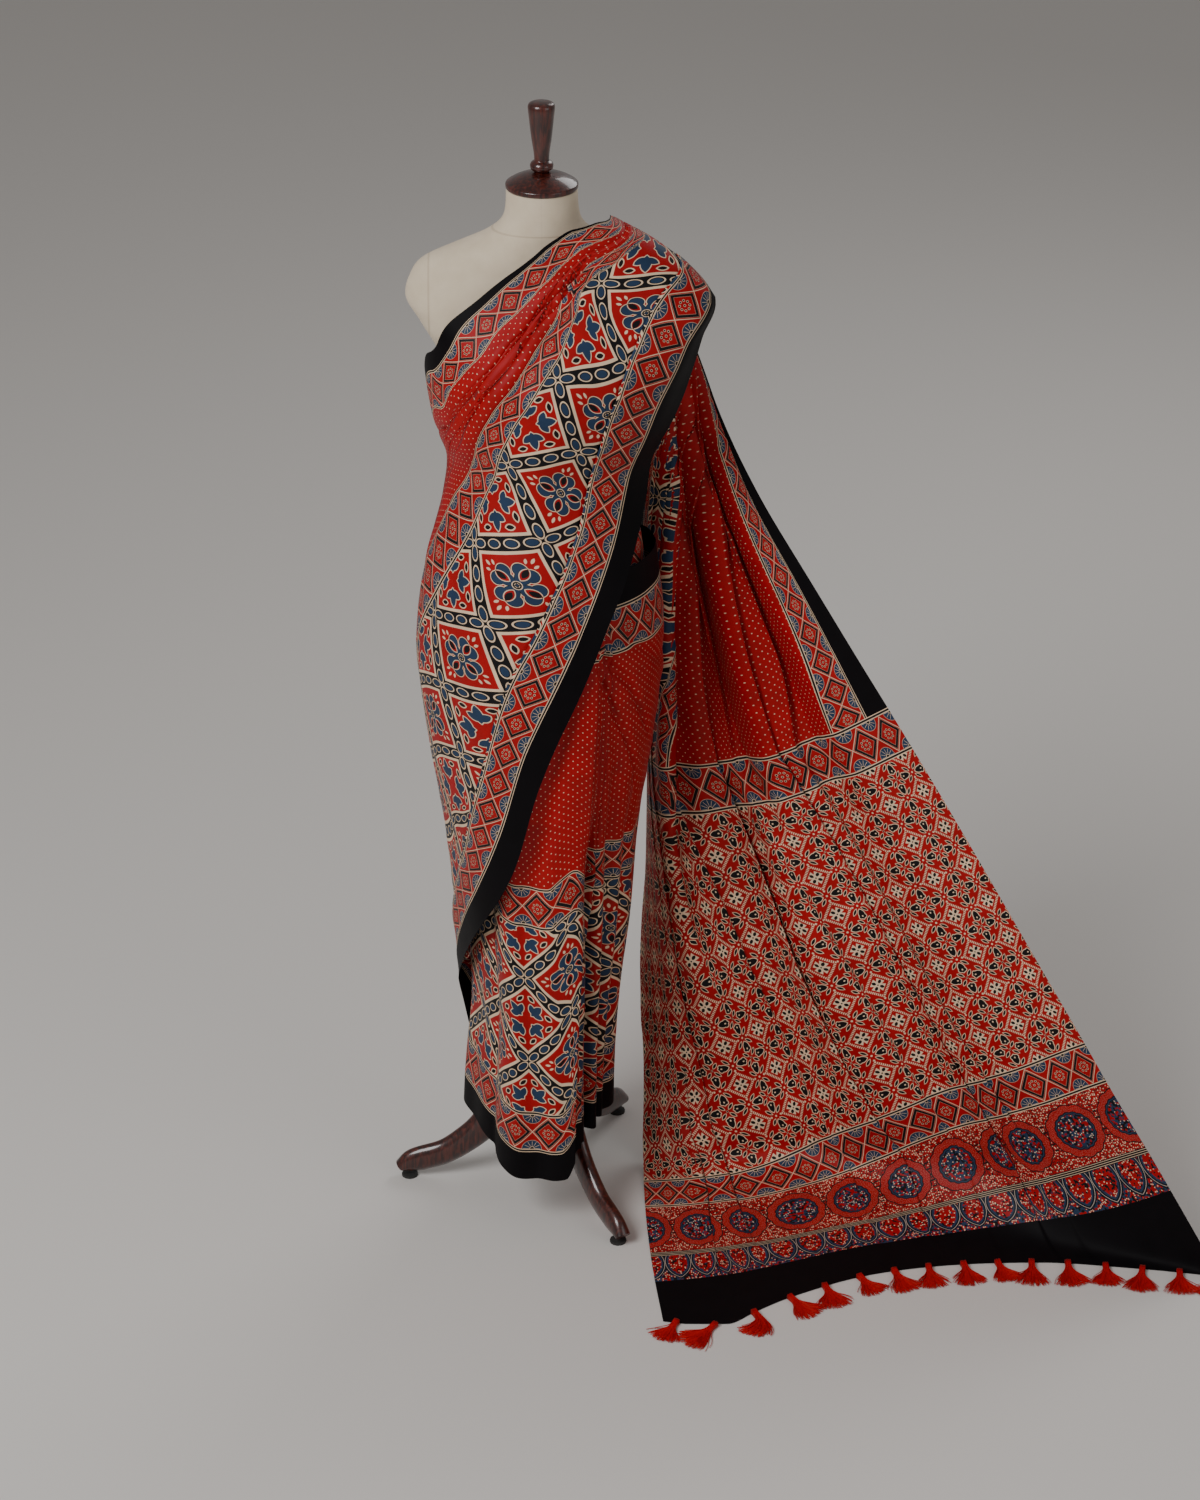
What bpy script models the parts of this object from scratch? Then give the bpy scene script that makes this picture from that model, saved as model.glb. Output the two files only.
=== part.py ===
"""Ajrakh saree draped on a dress form with a turned cap and a three-legged stand.

Metres, +Z up. Everything is worked out about the stand's axis (x to the wearer's left, y to the back,
the floor at z = 0) and moved at the end so that the origin lies under the middle of the whole.
"""

import math

import bmesh
import bpy
import numpy as np

# ---------------------------------------------------------------- driving sizes
CLOTH_WIDTH = 1.08  # across, edge to edge
CLOTH_THICKNESS = 0.0015  # stands in for a printed cloth of about 0.3 mm
GAP = 0.0004  # left between neighbouring solids

EDGE_BAND = 0.045  # plain black band at both long edges
FLOWER_BAND = 0.068  # chain of diamonds
LATTICE_BAND = 0.306  # wide lattice border above the lower band
LOWER_BAND_TOP = EDGE_BAND + FLOWER_BAND
LATTICE_TOP = LOWER_BAND_TOP + LATTICE_BAND
BORDER_TOP = LATTICE_TOP + FLOWER_BAND
UPPER_BAND_LOW = CLOTH_WIDTH - EDGE_BAND - FLOWER_BAND

TOTAL_HEIGHT = 1.66
CAP_RADIUS = 0.048
TORSO_BOTTOM = 0.72
POLE_RADIUS = 0.014
HUB_RADIUS = 0.034
HUB_LOW, HUB_HIGH = 0.105, 0.225
LEG_REACH = 0.2065  # from the axis to the middle of a foot
LEG_THICKNESS = 0.03
LEG_ANGLES = (180.0, -60.0, 60.0)
FOOT_PAD_RADIUS = 0.012
FOOT_PAD_HEIGHT = 0.004
# A leg's middle line outwards from the hub: the depth of the wood and how far its section leans out
LEG_COLUMNS = ("from_axis", "z", "depth", "lean_deg")
LEG = (
    (HUB_RADIUS + GAP, 0.150, 0.072, 0),
    (0.053, 0.141, 0.064, 16),
    (0.076, 0.114, 0.052, 44),
    (0.100, 0.083, 0.045, 46),
    (0.126, 0.060, 0.042, 34),
    (0.155, 0.041, 0.040, 20),
    (0.185, 0.031, 0.040, 12),
    (0.205, 0.025, 0.034, 22),
    (0.221, 0.017, 0.017, 40),
)

TASSEL_COUNT = 16
TASSEL_STRANDS = 9
TASSEL_LENGTH = 0.052
TASSEL_HEAD = 0.011
TASSEL_SPREAD = math.radians(22)

# The form's sections: height, half width at its right and left, half depth at the front and back
TORSO_COLUMNS = ("z", "right", "left", "front", "back")
TORSO = (
    (0.72, 0.132, 0.124, 0.098, 0.086),
    (0.80, 0.146, 0.138, 0.112, 0.102),
    (0.88, 0.151, 0.143, 0.116, 0.110),
    (1.00, 0.136, 0.131, 0.106, 0.102),
    (1.10, 0.108, 0.113, 0.092, 0.086),
    (1.16, 0.102, 0.106, 0.090, 0.082),
    (1.22, 0.117, 0.117, 0.106, 0.087),
    (1.28, 0.132, 0.132, 0.116, 0.088),
    (1.32, 0.143, 0.143, 0.106, 0.086),
    (1.36, 0.166, 0.166, 0.086, 0.080),
    (1.395, 0.184, 0.184, 0.068, 0.068),
    (1.42, 0.178, 0.172, 0.058, 0.060),
    (1.445, 0.160, 0.148, 0.050, 0.052),
    (1.465, 0.116, 0.108, 0.046, 0.047),
    (1.48, 0.080, 0.074, 0.045, 0.045),
    (1.495, 0.058, 0.056, 0.045, 0.045),
    (1.515, 0.049, 0.049, 0.0465, 0.0465),
    (1.5425, 0.0475, 0.0475, 0.0465, 0.0465),
)

# The outer surface of the wrapped cloth, by the same columns; it stands off the form all round
WRAP = (
    (0.03, 0.138, 0.096, 0.118, 0.100),
    (0.20, 0.130, 0.098, 0.124, 0.100),
    (0.33, 0.119, 0.106, 0.130, 0.102),
    (0.45, 0.126, 0.120, 0.135, 0.108),
    (0.60, 0.139, 0.131, 0.142, 0.118),
    (0.75, 0.160, 0.150, 0.148, 0.130),
    (0.88, 0.171, 0.162, 0.150, 0.140),
    (1.00, 0.157, 0.152, 0.140, 0.130),
    (1.10, 0.131, 0.138, 0.122, 0.110),
    (1.16, 0.124, 0.131, 0.116, 0.104),
    (1.22, 0.142, 0.145, 0.132, 0.108),
    (1.28, 0.152, 0.160, 0.140, 0.108),
    (1.34, 0.158, 0.190, 0.122, 0.102),
    (1.386, 0.190, 0.215, 0.088, 0.086),
    (1.417, 0.190, 0.198, 0.072, 0.074),
    (1.44, 0.172, 0.178, 0.064, 0.066),
    (1.468, 0.118, 0.140, 0.058, 0.058),
    (1.49, 0.075, 0.100, 0.054, 0.054),
    (1.51, 0.056, 0.060, 0.052, 0.052),
)

# Height of the hem round the skirt, by angle (0 at the wearer's left, -90 at the front)
HEM = (
    (-180, 0.135),
    (-150, 0.125),
    (-120, 0.105),
    (-95, 0.088),
    (-78, 0.090),
    (-68, 0.132),
    (-45, 0.132),
    (0, 0.132),
    (30, 0.130),
    (60, 0.150),
    (90, 0.105),
    (150, 0.110),
    (180, 0.135),
)

SKIRT_FOLDS = 6  # round one turn, deepest at the hem
FOLD_DEPTH_AT_HEM = 0.021
FOLD_START = 0.85  # height where the skirt's folds fade out
TURN_STEP = 12.0  # degrees between columns of the turns
INNER_TURN = {"start": -172.0, "end": 232.0, "start_off": -0.015, "end_off": -0.0085, "top": 1.115}
OUTER_TURN = {"start": -46.0, "end": 98.0, "start_off": 0.0015, "end_off": -0.001, "top": 1.03}

# Front pleats, knife folded towards the wearer's left. Angles at the waist and at the hem, where they fan
# out; the outermost fold comes first, and every layer lies one pitch inside the one before.
PLEAT_RIGHT_FOLDS = ((-64.0, -72.0), (-60.0, -66.0), (-56.0, -60.0))
PLEAT_LEFT_FOLDS = ((-93.0, -104.0), (-91.5, -102.0), (-90.0, -100.0))
PLEAT_MIDDLE = (-78.0, -88.0)
PLEAT_WAY_IN = ((-121.0, -122.0, 0.001, 0.006), (-110.0, -114.0, 0.010, 0.026))
PLEAT_PITCH = (0.0023, 0.0055)
PLEAT_INNERMOST = (0.002, 0.005)
PLEAT_TOP = 1.03

# The last wrap, up to the left shoulder. Each row runs across the cloth; for each line of the print it
# gives the angle, the height and the stand-off, at the outer edge, the two sides of the lattice, the
# border's top, the upper band and the neck edge.
PANEL_LINES = (0.0, LOWER_BAND_TOP, LATTICE_TOP, BORDER_TOP, UPPER_BAND_LOW, CLOTH_WIDTH)
PANEL = (
    ((110, 0.090, 0), (110, 0.20, 0), (110, 0.50, 0), (110, 0.565, 0), (110, 0.97, 0), (110, 1.045, 0)),
    ((130, 0.120, 0), (130, 0.23, 0), (130, 0.535, 0), (130, 0.61, 0), (132, 1.02, 0), (132, 1.10, 0)),
    ((152, 0.19, 2), (152, 0.31, 0), (152, 0.64, 0), (154, 0.73, 0), (155, 1.10, 0), (155, 1.18, 0)),
    ((175, 0.31, 4), (178, 0.43, 2), (172, 0.80, 0), (172, 0.90, 0), (175, 1.19, 0), (175, 1.26, 0)),
    ((195, 0.375, 6), (197, 0.50, 3), (188, 0.91, 0), (188, 1.02, 0), (195, 1.25, 0), (192, 1.315, 0)),
    ((217, 0.436, 9), (212, 0.562, 5), (208, 1.00, 1), (206, 1.11, 0), (211, 1.267, 0), (206, 1.335, 0)),
    ((240, 0.515, 26), (226, 0.62, 12), (223, 1.075, 3), (219, 1.15, 0), (222, 1.30, 0), (220, 1.36, 0)),
    ((257, 0.61, 34), (243, 0.745, 25), (235, 1.14, 5), (230, 1.195, 0), (236, 1.335, 0), (233, 1.385, 0)),
    ((269, 0.75, 34), (257, 0.89, 30), (248, 1.21, 5), (245, 1.26, 1), (248, 1.365, 0), (246, 1.415, 0)),
    ((282, 0.861, 32), (269, 0.974, 28), (262, 1.28, 4), (259, 1.315, 2), (258, 1.39, 0), (256, 1.445, 0)),
    ((300, 0.98, 25), (284, 1.07, 16), (274, 1.335, 4), (269, 1.355, 2), (265, 1.41, 0), (265, 1.468, 0)),
    ((324, 1.07, 10), (295, 1.155, 8), (282, 1.385, 3), (277, 1.39, 2), (272, 1.43, 0), (278, 1.488, 0)),
    ((346, 1.16, 14), (300, 1.235, 6), (288, 1.42, 2), (284, 1.425, 2), (285, 1.455, 1), (300, 1.50, 0)),
    ((352, 1.27, 34), (308, 1.336, 4), (300, 1.44, 2), (298, 1.45, 2), (305, 1.474, 1), (325, 1.500, 0)),
    ((354, 1.345, 20), (320, 1.40, 4), (322, 1.462, 2), (326, 1.47, 2), (335, 1.482, 1), (345, 1.497, 0)),
    ((360, 1.386, 12), (360, 1.440, 4), (360, 1.473, 2), (360, 1.479, 2), (360, 1.489, 2), (365, 1.496, 0)),
)
PANEL_REFINED = 28  # columns of the solid that run up the panel
PANEL_FOLDS = 3
PANEL_FOLD_DEPTH = 0.007

# The hanging end. Each row: its left fold, its right edge and how far it is spread
# (0 = its border folded back on itself, 1 = flat)
FALL_COLUMNS = ("x_left", "y_left", "z_left", "x_right", "y_right", "z_right", "spread")
FALL = (
    (0.214, 0.055, 1.358, 0.092, 0.066, 1.462, 1.0),
    (0.186, 0.085, 1.30, 0.120, 0.118, 1.405, 1.0),
    (0.164, 0.098, 1.20, 0.192, 0.150, 1.28, 0.95),
    (0.157, 0.104, 1.08, 0.246, 0.136, 1.16, 0.45),
    (0.156, 0.104, 0.94, 0.305, 0.105, 1.055, 0.08),
    (0.156, 0.102, 0.79, 0.375, 0.066, 0.95, 0.0),
    (0.152, 0.098, 0.64, 0.452, 0.022, 0.83, 0.03),
    (0.148, 0.090, 0.49, 0.532, -0.024, 0.705, 0.12),
    (0.143, 0.082, 0.35, 0.607, -0.066, 0.585, 0.28),
    (0.142, 0.074, 0.22, 0.682, -0.108, 0.462, 0.46),
    (0.143, 0.064, 0.10, 0.757, -0.150, 0.34, 0.64),
    (0.142, 0.045, 0.028, 0.818, -0.185, 0.24, 0.78),
    (0.142, 0.005, 0.004, 0.862, -0.208, 0.17, 0.86),
    (0.143, -0.075, 0.0, 0.902, -0.232, 0.105, 0.93),
    (0.147, -0.165, 0.0, 0.937, -0.254, 0.048, 0.98),
    (0.154, -0.265, 0.0, 0.962, -0.267, 0.008, 1.0),
    (0.166, -0.383, 0.0, 0.979, -0.276, 0.0, 1.0),
)
# How the folded border lies, by distance across the cloth: metres from the left fold, then the share of
# the way to the right edge, and how far behind the front of the fall
FOLDED_BORDER = (
    (0.0, 0.004, 0.0, 0.042),
    (0.06, 0.001, 0.0, 0.034),
    (0.165, 0.000, 0.0, 0.022),
    (0.27, 0.005, 0.0, 0.010),
    (0.37, 0.020, 0.0, 0.000),
    (0.419, 0.025, 0.0, 0.004),
    (0.487, 0.019, 0.0, 0.016),
    (0.585, 0.026, 0.130, 0.016),
    (0.967, 0.0, 0.800, 0.0),
    (CLOTH_WIDTH, 0.0, 1.0, 0.0),
)
FALL_FOLDS = 3.0  # soft folds that fan out from the shoulder
FALL_FOLD_DEPTH = 0.014
FALL_FOLD_SLOPE = 0.04  # the folds' depth as a share of a narrow fall's width
FALL_REFINED = 22  # columns of the solid that run down the fall
FALL_LANDS = 0.03  # the left fold touches the floor below this height
# The end's hem on the floor: share of the width, x and y
END_HEM = (
    (0.0, 0.166, -0.383),
    (0.085, 0.239, -0.393),
    (0.19, 0.327, -0.336),
    (0.34, 0.447, -0.273),
    (0.53, 0.598, -0.240),
    (0.68, 0.715, -0.235),
    (0.82, 0.832, -0.248),
    (0.95, 0.938, -0.266),
    (1.0, 0.979, -0.276),
)

ACROSS = np.array(
    [0.0, EDGE_BAND, LOWER_BAND_TOP, 0.165, 0.215, 0.27, 0.32, 0.37, LATTICE_TOP, BORDER_TOP, 0.535, 0.585]
    + [0.635, 0.685, 0.735, 0.785, 0.835, 0.885, 0.93, UPPER_BAND_LOW, CLOTH_WIDTH - EDGE_BAND, CLOTH_WIDTH]
)

COLOURS = {
    "ajrakh_print": ((0.42, 0.012, 0.012), 0.62, 0.0),
    "form_canvas": ((0.78, 0.70, 0.58), 0.85, 0.0),
    "dark_wood": ((0.035, 0.008, 0.006), 0.18, 0.0),
    "foot_pads": ((0.02, 0.02, 0.02), 0.8, 0.0),
    "tassel_thread": ((0.62, 0.01, 0.012), 0.5, 0.0),
}


# ---------------------------------------------------------------- small tools
def material(name):
    colour, roughness, metallic = COLOURS[name]
    made = bpy.data.materials.get(name) or bpy.data.materials.new(name)
    made.use_nodes = True
    shader = made.node_tree.nodes["Principled BSDF"]
    shader.inputs["Base Color"].default_value = (*colour, 1.0)
    shader.inputs["Roughness"].default_value = roughness
    shader.inputs["Metallic"].default_value = metallic
    return made


def new_object(name, points, faces, finish, smooth=True):
    """One named object from points and faces, its faces turned outwards."""
    mesh = bpy.data.meshes.new(name)
    mesh.from_pydata([tuple(p) for p in points], [], faces)
    work = bmesh.new()
    work.from_mesh(mesh)
    bmesh.ops.recalc_face_normals(work, faces=work.faces)
    work.to_mesh(mesh)
    work.free()
    if smooth:
        mesh.shade_smooth()
    made = bpy.data.objects.new(name, mesh)
    made.data.materials.append(material(finish))
    bpy.context.scene.collection.objects.link(made)
    return made


def ring_faces(rings, around, closed_ends=True):
    """Faces between rings of points, with the first and last ring filled."""
    faces = []
    for i in range(rings - 1):
        for j in range(around):
            k = (j + 1) % around
            faces.append((i * around + j, i * around + k, (i + 1) * around + k, (i + 1) * around + j))
    if closed_ends:
        faces.append(tuple(range(around))[::-1])
        faces.append(tuple((rings - 1) * around + j for j in range(around)))
    return faces


def through(rows, at):
    """A smooth curve through the rows (first column is where each lies), read at the places asked for."""
    rows = np.asarray(rows, float)
    x, y = rows[:, 0], rows[:, 1:]
    at = np.clip(np.asarray(at, float), x[0], x[-1])
    slope = np.diff(y, axis=0) / np.diff(x)[:, None]
    tangent = np.zeros_like(y)
    tangent[1:-1] = np.where(slope[1:] * slope[:-1] > 0, (slope[1:] + slope[:-1]) / 2, 0)
    tangent[1:-1] = np.clip(
        tangent[1:-1],
        -2.5 * np.minimum(abs(slope[1:]), abs(slope[:-1])),
        2.5 * np.minimum(abs(slope[1:]), abs(slope[:-1])),
    )
    tangent[0], tangent[-1] = slope[0], slope[-1]
    i = np.clip(np.searchsorted(x, at, side="right") - 1, 0, len(x) - 2)
    step = (x[i + 1] - x[i])[..., None]
    u = (at - x[i])[..., None] / step
    return (
        y[i] * (1 + 2 * u) * (1 - u) ** 2
        + tangent[i] * step * u * (1 - u) ** 2
        + y[i + 1] * u * u * (3 - 2 * u)
        + tangent[i + 1] * step * u * u * (u - 1)
    )


def round_section(table, angle, z, off):
    """A point of a four-quarter ellipse whose half axes come from the table at height z, plus off."""
    half = through(table, z)
    c, s = np.cos(angle), np.sin(angle)
    width = np.where(c < 0, half[..., 0], half[..., 1]) + off
    depth = np.where(s < 0, half[..., 2], half[..., 3]) + off
    return np.stack([width * c, depth * s, z + 0 * angle], -1)


# ---------------------------------------------------------------- the saree
def skirt_fold(angle, z):
    """How far the hanging folds of the skirt stand out, growing from FOLD_START down to the hem.

    The front, between the pleats, keeps none.
    """
    fall = np.clip((FOLD_START - z) / FOLD_START, 0, 1) ** 1.2
    away_from_front = np.clip((1 + np.sin(angle)) / 0.9, 0, 1) ** 1.5
    return -FOLD_DEPTH_AT_HEM * fall * away_from_front * (1 - np.cos(SKIRT_FOLDS * angle)) / 2


def hem_height(degrees):
    wrapped = (np.asarray(degrees, float) + 180) % 360 - 180
    return through(HEM, wrapped)[..., 0]


def turn(spec, count):
    """Columns of a turn round the body: height grows with the distance across the cloth."""
    share = np.linspace(0, 1, count)[:, None]
    degrees = spec["start"] + (spec["end"] - spec["start"]) * share
    off = spec["start_off"] + (spec["end_off"] - spec["start_off"]) * share
    low = hem_height(degrees)
    z = low + (spec["top"] - low) * (ACROSS / CLOTH_WIDTH)[None, :]
    angle = np.radians(degrees) + 0 * z
    return round_section(WRAP, angle, z, off + skirt_fold(angle, z))


def pleat_rows():
    """Columns through the pleats: waist angle, hem angle, and stand-off at the waist and at the hem.

    The way runs forward on one layer as far as its right fold and back on the next to its left fold.
    """
    folds = len(PLEAT_RIGHT_FOLDS)
    rows = list(PLEAT_WAY_IN)
    for k in range(folds + 1):
        right = list(PLEAT_RIGHT_FOLDS[: min(k, folds - 1) + 1])
        start = [PLEAT_LEFT_FOLDS[k - 1]] if k else [PLEAT_LEFT_FOLDS[0]]
        forward = start + [PLEAT_MIDDLE] + right
        layers = [(2 * k, forward)]
        if k < folds:
            layers.append((2 * k + 1, [PLEAT_LEFT_FOLDS[k], PLEAT_MIDDLE, *right][::-1]))
        for layer, places in layers:
            inside = 2 * folds - layer
            offs = [low + inside * pitch for low, pitch in zip(PLEAT_INNERMOST, PLEAT_PITCH)]
            rows += [(*place, *offs) for place in places]
    return np.array(rows)


def pleats():
    """The stacked front pleats, narrow at the waist and fanned out at the hem."""
    waist, hem, waist_off, hem_off = (column[:, None] for column in pleat_rows().T)
    low = hem_height(hem)
    share = (ACROSS / CLOTH_WIDTH)[None, :]
    z = low + (PLEAT_TOP - low) * share
    angle = np.radians(hem + (waist - hem) * share)
    off = hem_off + (waist_off - hem_off) * share
    return round_section(WRAP, angle, z, off)


def panel_fold(up, across):
    """The soft diagonal folds of the dotted ground, which fade out below the shoulder."""
    ground = np.clip((across - BORDER_TOP) / (UPPER_BAND_LOW - BORDER_TOP), 0, 1)
    shape = (1 - np.cos(2 * math.pi * PANEL_FOLDS * ground)) / 2
    return PANEL_FOLD_DEPTH * shape * np.clip((up - 0.25) / 0.3, 0, 1) * np.clip((0.84 - up) / 0.2, 0, 1)


def panel():
    """The last wrap over the front, carried up to the top of the shoulder."""
    rows = np.array(PANEL, float)
    rows[..., 2] /= 1000.0
    stations = np.linspace(0, 1, len(rows))
    flat = through(np.column_stack([stations, rows.reshape(len(rows), -1)]), np.linspace(0, 1, PANEL_REFINED))
    flat = flat.reshape(PANEL_REFINED, len(PANEL_LINES), 3)
    columns = [through(np.column_stack([PANEL_LINES, row]), ACROSS) for row in flat]
    angle, z, off = np.moveaxis(np.array(columns), -1, 0)
    angle = np.radians(angle)
    up = np.linspace(0, 1, PANEL_REFINED)[:, None]
    return round_section(WRAP, angle, z, off + skirt_fold(angle, z) + panel_fold(up, ACROSS[None, :]))


def fall():
    """The end of the cloth, from behind the shoulder down to the floor and along it.

    Each column runs from its left fold to its right edge. The border is folded back beside the left fold,
    and opens out towards the hem, which lies on the floor on its own curve.
    """
    rows = np.array(FALL, float)
    rows = through(np.column_stack([np.linspace(0, 1, len(rows)), rows]), np.linspace(0, 1, FALL_REFINED))
    border = through(FOLDED_BORDER, ACROSS)
    flat_share = ACROSS / CLOTH_WIDTH
    hem = through(END_HEM, flat_share)
    bow = hem - (hem[0] + (hem[-1] - hem[0]) * flat_share[:, None])
    out = []
    for row in rows:
        left, right, spread = row[0:3], row[3:6], row[6]
        length = np.linalg.norm(right - left)
        share = (border[:, 0] / length + border[:, 1]) * (1 - spread) + flat_share * spread
        line = left + (right - left) * share[:, None]
        across = (right - left)[:2] / np.linalg.norm((right - left)[:2])
        behind = np.array([-across[1], across[0], 0.0])
        depth = min(FALL_FOLD_DEPTH, FALL_FOLD_SLOPE * length)
        wave = depth * np.sin(math.pi * share) * np.cos(2 * math.pi * FALL_FOLDS * share)
        hanging = min(1.0, right[2] / 0.4) * min(1.0, max(0.0, (1.42 - right[2]) / 0.2))
        line = line + behind * (border[:, 2] * (1 - spread) + wave * hanging)[:, None]
        if left[2] < FALL_LANDS:
            # Landed at the left, and rising to the right edge
            line[:, 2] = left[2] + (right[2] - left[2]) * np.clip(share, 0, 1) ** 2.2
        line[:, :2] += bow * max(0.0, 1 - right[2] / 0.5)
        out.append(line)
    return np.array(out)


def saree_grid():
    turns_inner = turn(INNER_TURN, int(round((INNER_TURN["end"] - INNER_TURN["start"]) / TURN_STEP)) + 1)
    turns_outer = turn(OUTER_TURN, int(round((OUTER_TURN["end"] - OUTER_TURN["start"]) / TURN_STEP)) + 1)
    return np.concatenate([turns_inner, pleats(), turns_outer, panel(), fall()])


def mean_direction(grid, axis):
    """At each point, the mean of the unit directions of the two steps that meet there."""
    step = np.diff(grid, axis=axis)
    step /= np.maximum(np.linalg.norm(step, axis=-1, keepdims=True), 1e-12)
    first, last = np.take(step, [0], axis), np.take(step, [-1], axis)
    return np.concatenate([first, step], axis) + np.concatenate([step, last], axis)


def sheet_solid(name, grid, thickness, finish):
    """A closed sheet of the given thickness about a grid of points."""
    normal = np.cross(mean_direction(grid, 0), mean_direction(grid, 1))
    normal /= np.maximum(np.linalg.norm(normal, axis=-1, keepdims=True), 1e-12)
    up = grid + [0, 0, thickness / 2]
    outer, inner = up + normal * thickness / 2, up - normal * thickness / 2
    for side, lowest in ((outer, 0.0), (inner, 0.0)):
        side[..., 2] = np.maximum(side[..., 2], lowest)
    n, m = grid.shape[:2]
    points = np.concatenate([outer.reshape(-1, 3), inner.reshape(-1, 3)])
    faces = []

    def at(side, i, j):
        return side * n * m + i * m + j

    for i in range(n - 1):
        for j in range(m - 1):
            faces.append((at(0, i, j), at(0, i + 1, j), at(0, i + 1, j + 1), at(0, i, j + 1)))
            faces.append((at(1, i, j), at(1, i, j + 1), at(1, i + 1, j + 1), at(1, i + 1, j)))
    for i in range(n - 1):
        faces.append((at(0, i, 0), at(1, i, 0), at(1, i + 1, 0), at(0, i + 1, 0)))
        faces.append((at(0, i, m - 1), at(0, i + 1, m - 1), at(1, i + 1, m - 1), at(1, i, m - 1)))
    for j in range(m - 1):
        faces.append((at(0, 0, j), at(0, 0, j + 1), at(1, 0, j + 1), at(1, 0, j)))
        faces.append((at(0, n - 1, j), at(1, n - 1, j), at(1, n - 1, j + 1), at(0, n - 1, j + 1)))
    return new_object(name, points, faces, finish)


# ---------------------------------------------------------------- tassels
def tassel(name, root, heading):
    """A flat fan of strands on the floor, joined at a small round head by the cloth's edge.

    One outline runs out and back along each strand, and its height falls from the head to the tips.
    """
    outline, heights = [], []
    head_half = 0.0038
    outline.append((0.0, -head_half * 0.8))
    heights.append(0.0055)
    for k in range(TASSEL_STRANDS):
        turn_by = TASSEL_SPREAD * (2 * k / (TASSEL_STRANDS - 1) - 1)
        length = TASSEL_LENGTH * (1 - 0.1 * ((k * 5) % 3) - 0.12 * abs(turn_by) / TASSEL_SPREAD)
        side = head_half * (2 * k / (TASSEL_STRANDS - 1) - 1)
        direction = np.array([math.cos(turn_by), math.sin(turn_by)])
        normal = np.array([-direction[1], direction[0]])
        start = np.array([TASSEL_HEAD, side * 1.35])
        tip = start + direction * (length - TASSEL_HEAD)
        half_root, half_tip = head_half / TASSEL_STRANDS * 1.05, 0.0011
        outline += [start - normal * half_root, tip - normal * half_tip, tip + normal * half_tip]
        outline += [start + normal * half_root]
        heights += [0.0065, 0.0016, 0.0016, 0.0065]
    outline.append((0.0, head_half * 0.8))
    heights.append(0.0055)
    c, s = math.cos(heading), math.sin(heading)
    flat = np.array(outline) @ np.array([[c, s], [-s, c]]) + np.array(root)
    low = np.column_stack([flat, np.zeros(len(flat))])
    high = np.column_stack([flat, heights])
    count = len(flat)
    faces = [tuple(range(count))[::-1], tuple(range(count, 2 * count))]
    for k in range(count):
        n = (k + 1) % count
        faces.append((k, n, count + n, count + k))
    made = new_object(name, np.concatenate([low, high]), faces, "tassel_thread", smooth=False)
    work = bmesh.new()
    work.from_mesh(made.data)
    bmesh.ops.triangulate(work, faces=[f for f in work.faces if len(f.verts) > 4])
    work.to_mesh(made.data)
    work.free()
    return made


def tassels():
    """The row of tassels along the end's hem, each square to the hem's curve."""
    for k in range(TASSEL_COUNT):
        share = (k + 0.35) / (TASSEL_COUNT - 0.3)
        here = through(END_HEM, [share, min(1.0, share + 0.01), max(0.0, share - 0.01)])
        run = here[1] - here[2]
        heading = math.atan2(run[1], run[0]) - math.pi / 2
        out = np.array([math.cos(heading), math.sin(heading)])
        tassel(f"tassel_{k + 1:02d}", here[0] + out * (GAP + 0.0016), heading)


# ---------------------------------------------------------------- the dress form and its stand
def form_torso():
    heights = np.concatenate([np.linspace(TORSO_BOTTOM, 1.30, 13), [1.33, 1.355, 1.38, 1.4, 1.42, 1.437]])
    heights = np.concatenate([heights, [1.452, 1.465, 1.475, 1.485, 1.497, 1.512, TORSO[-1][0]]])
    around = 28
    angle = np.linspace(0, 2 * math.pi, around, endpoint=False)
    points = np.concatenate([round_section(TORSO, angle, z + 0 * angle, 0.0) for z in heights])
    new_object("form_torso", points, ring_faces(len(heights), around), "form_canvas")


def turned(name, profile, finish, around=24, smooth=True):
    """A turned piece about the stand's axis, from rows of radius and height, bottom to top."""
    angle = np.linspace(0, 2 * math.pi, around, endpoint=False)
    rings = [np.column_stack([r * np.cos(angle), r * np.sin(angle), 0 * angle + z]) for r, z in profile]
    made = new_object(name, np.concatenate(rings), ring_faces(len(profile), around), finish, smooth)
    made.data.set_sharp_from_angle(angle=math.radians(40))


def neck_cap():
    """The domed disc on the neck, the ball above it and the flared handle."""
    base = TORSO[-1][0] + GAP
    turned(
        "neck_cap",
        (
            (CAP_RADIUS - 0.001, base),
            (CAP_RADIUS + 0.0005, base + 0.002),
            (CAP_RADIUS + 0.0005, base + 0.0055),
            (CAP_RADIUS - 0.004, base + 0.0095),
            (0.030, base + 0.0165),
            (0.016, base + 0.0205),
            (0.0105, base + 0.0215),
        ),
        "dark_wood",
    )
    top = base + 0.0215 + GAP
    turned(
        "cap_handle",
        (
            (0.0100, top),
            (0.0150, top + 0.005),
            (0.0156, top + 0.009),
            (0.0140, top + 0.013),
            (0.0100, top + 0.0165),
            (0.0104, top + 0.024),
            (0.0135, 1.61),
            (0.0168, 1.640),
            (0.0180, 1.653),
            (0.0165, 1.658),
            (0.0120, TOTAL_HEIGHT),
        ),
        "dark_wood",
    )


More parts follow.
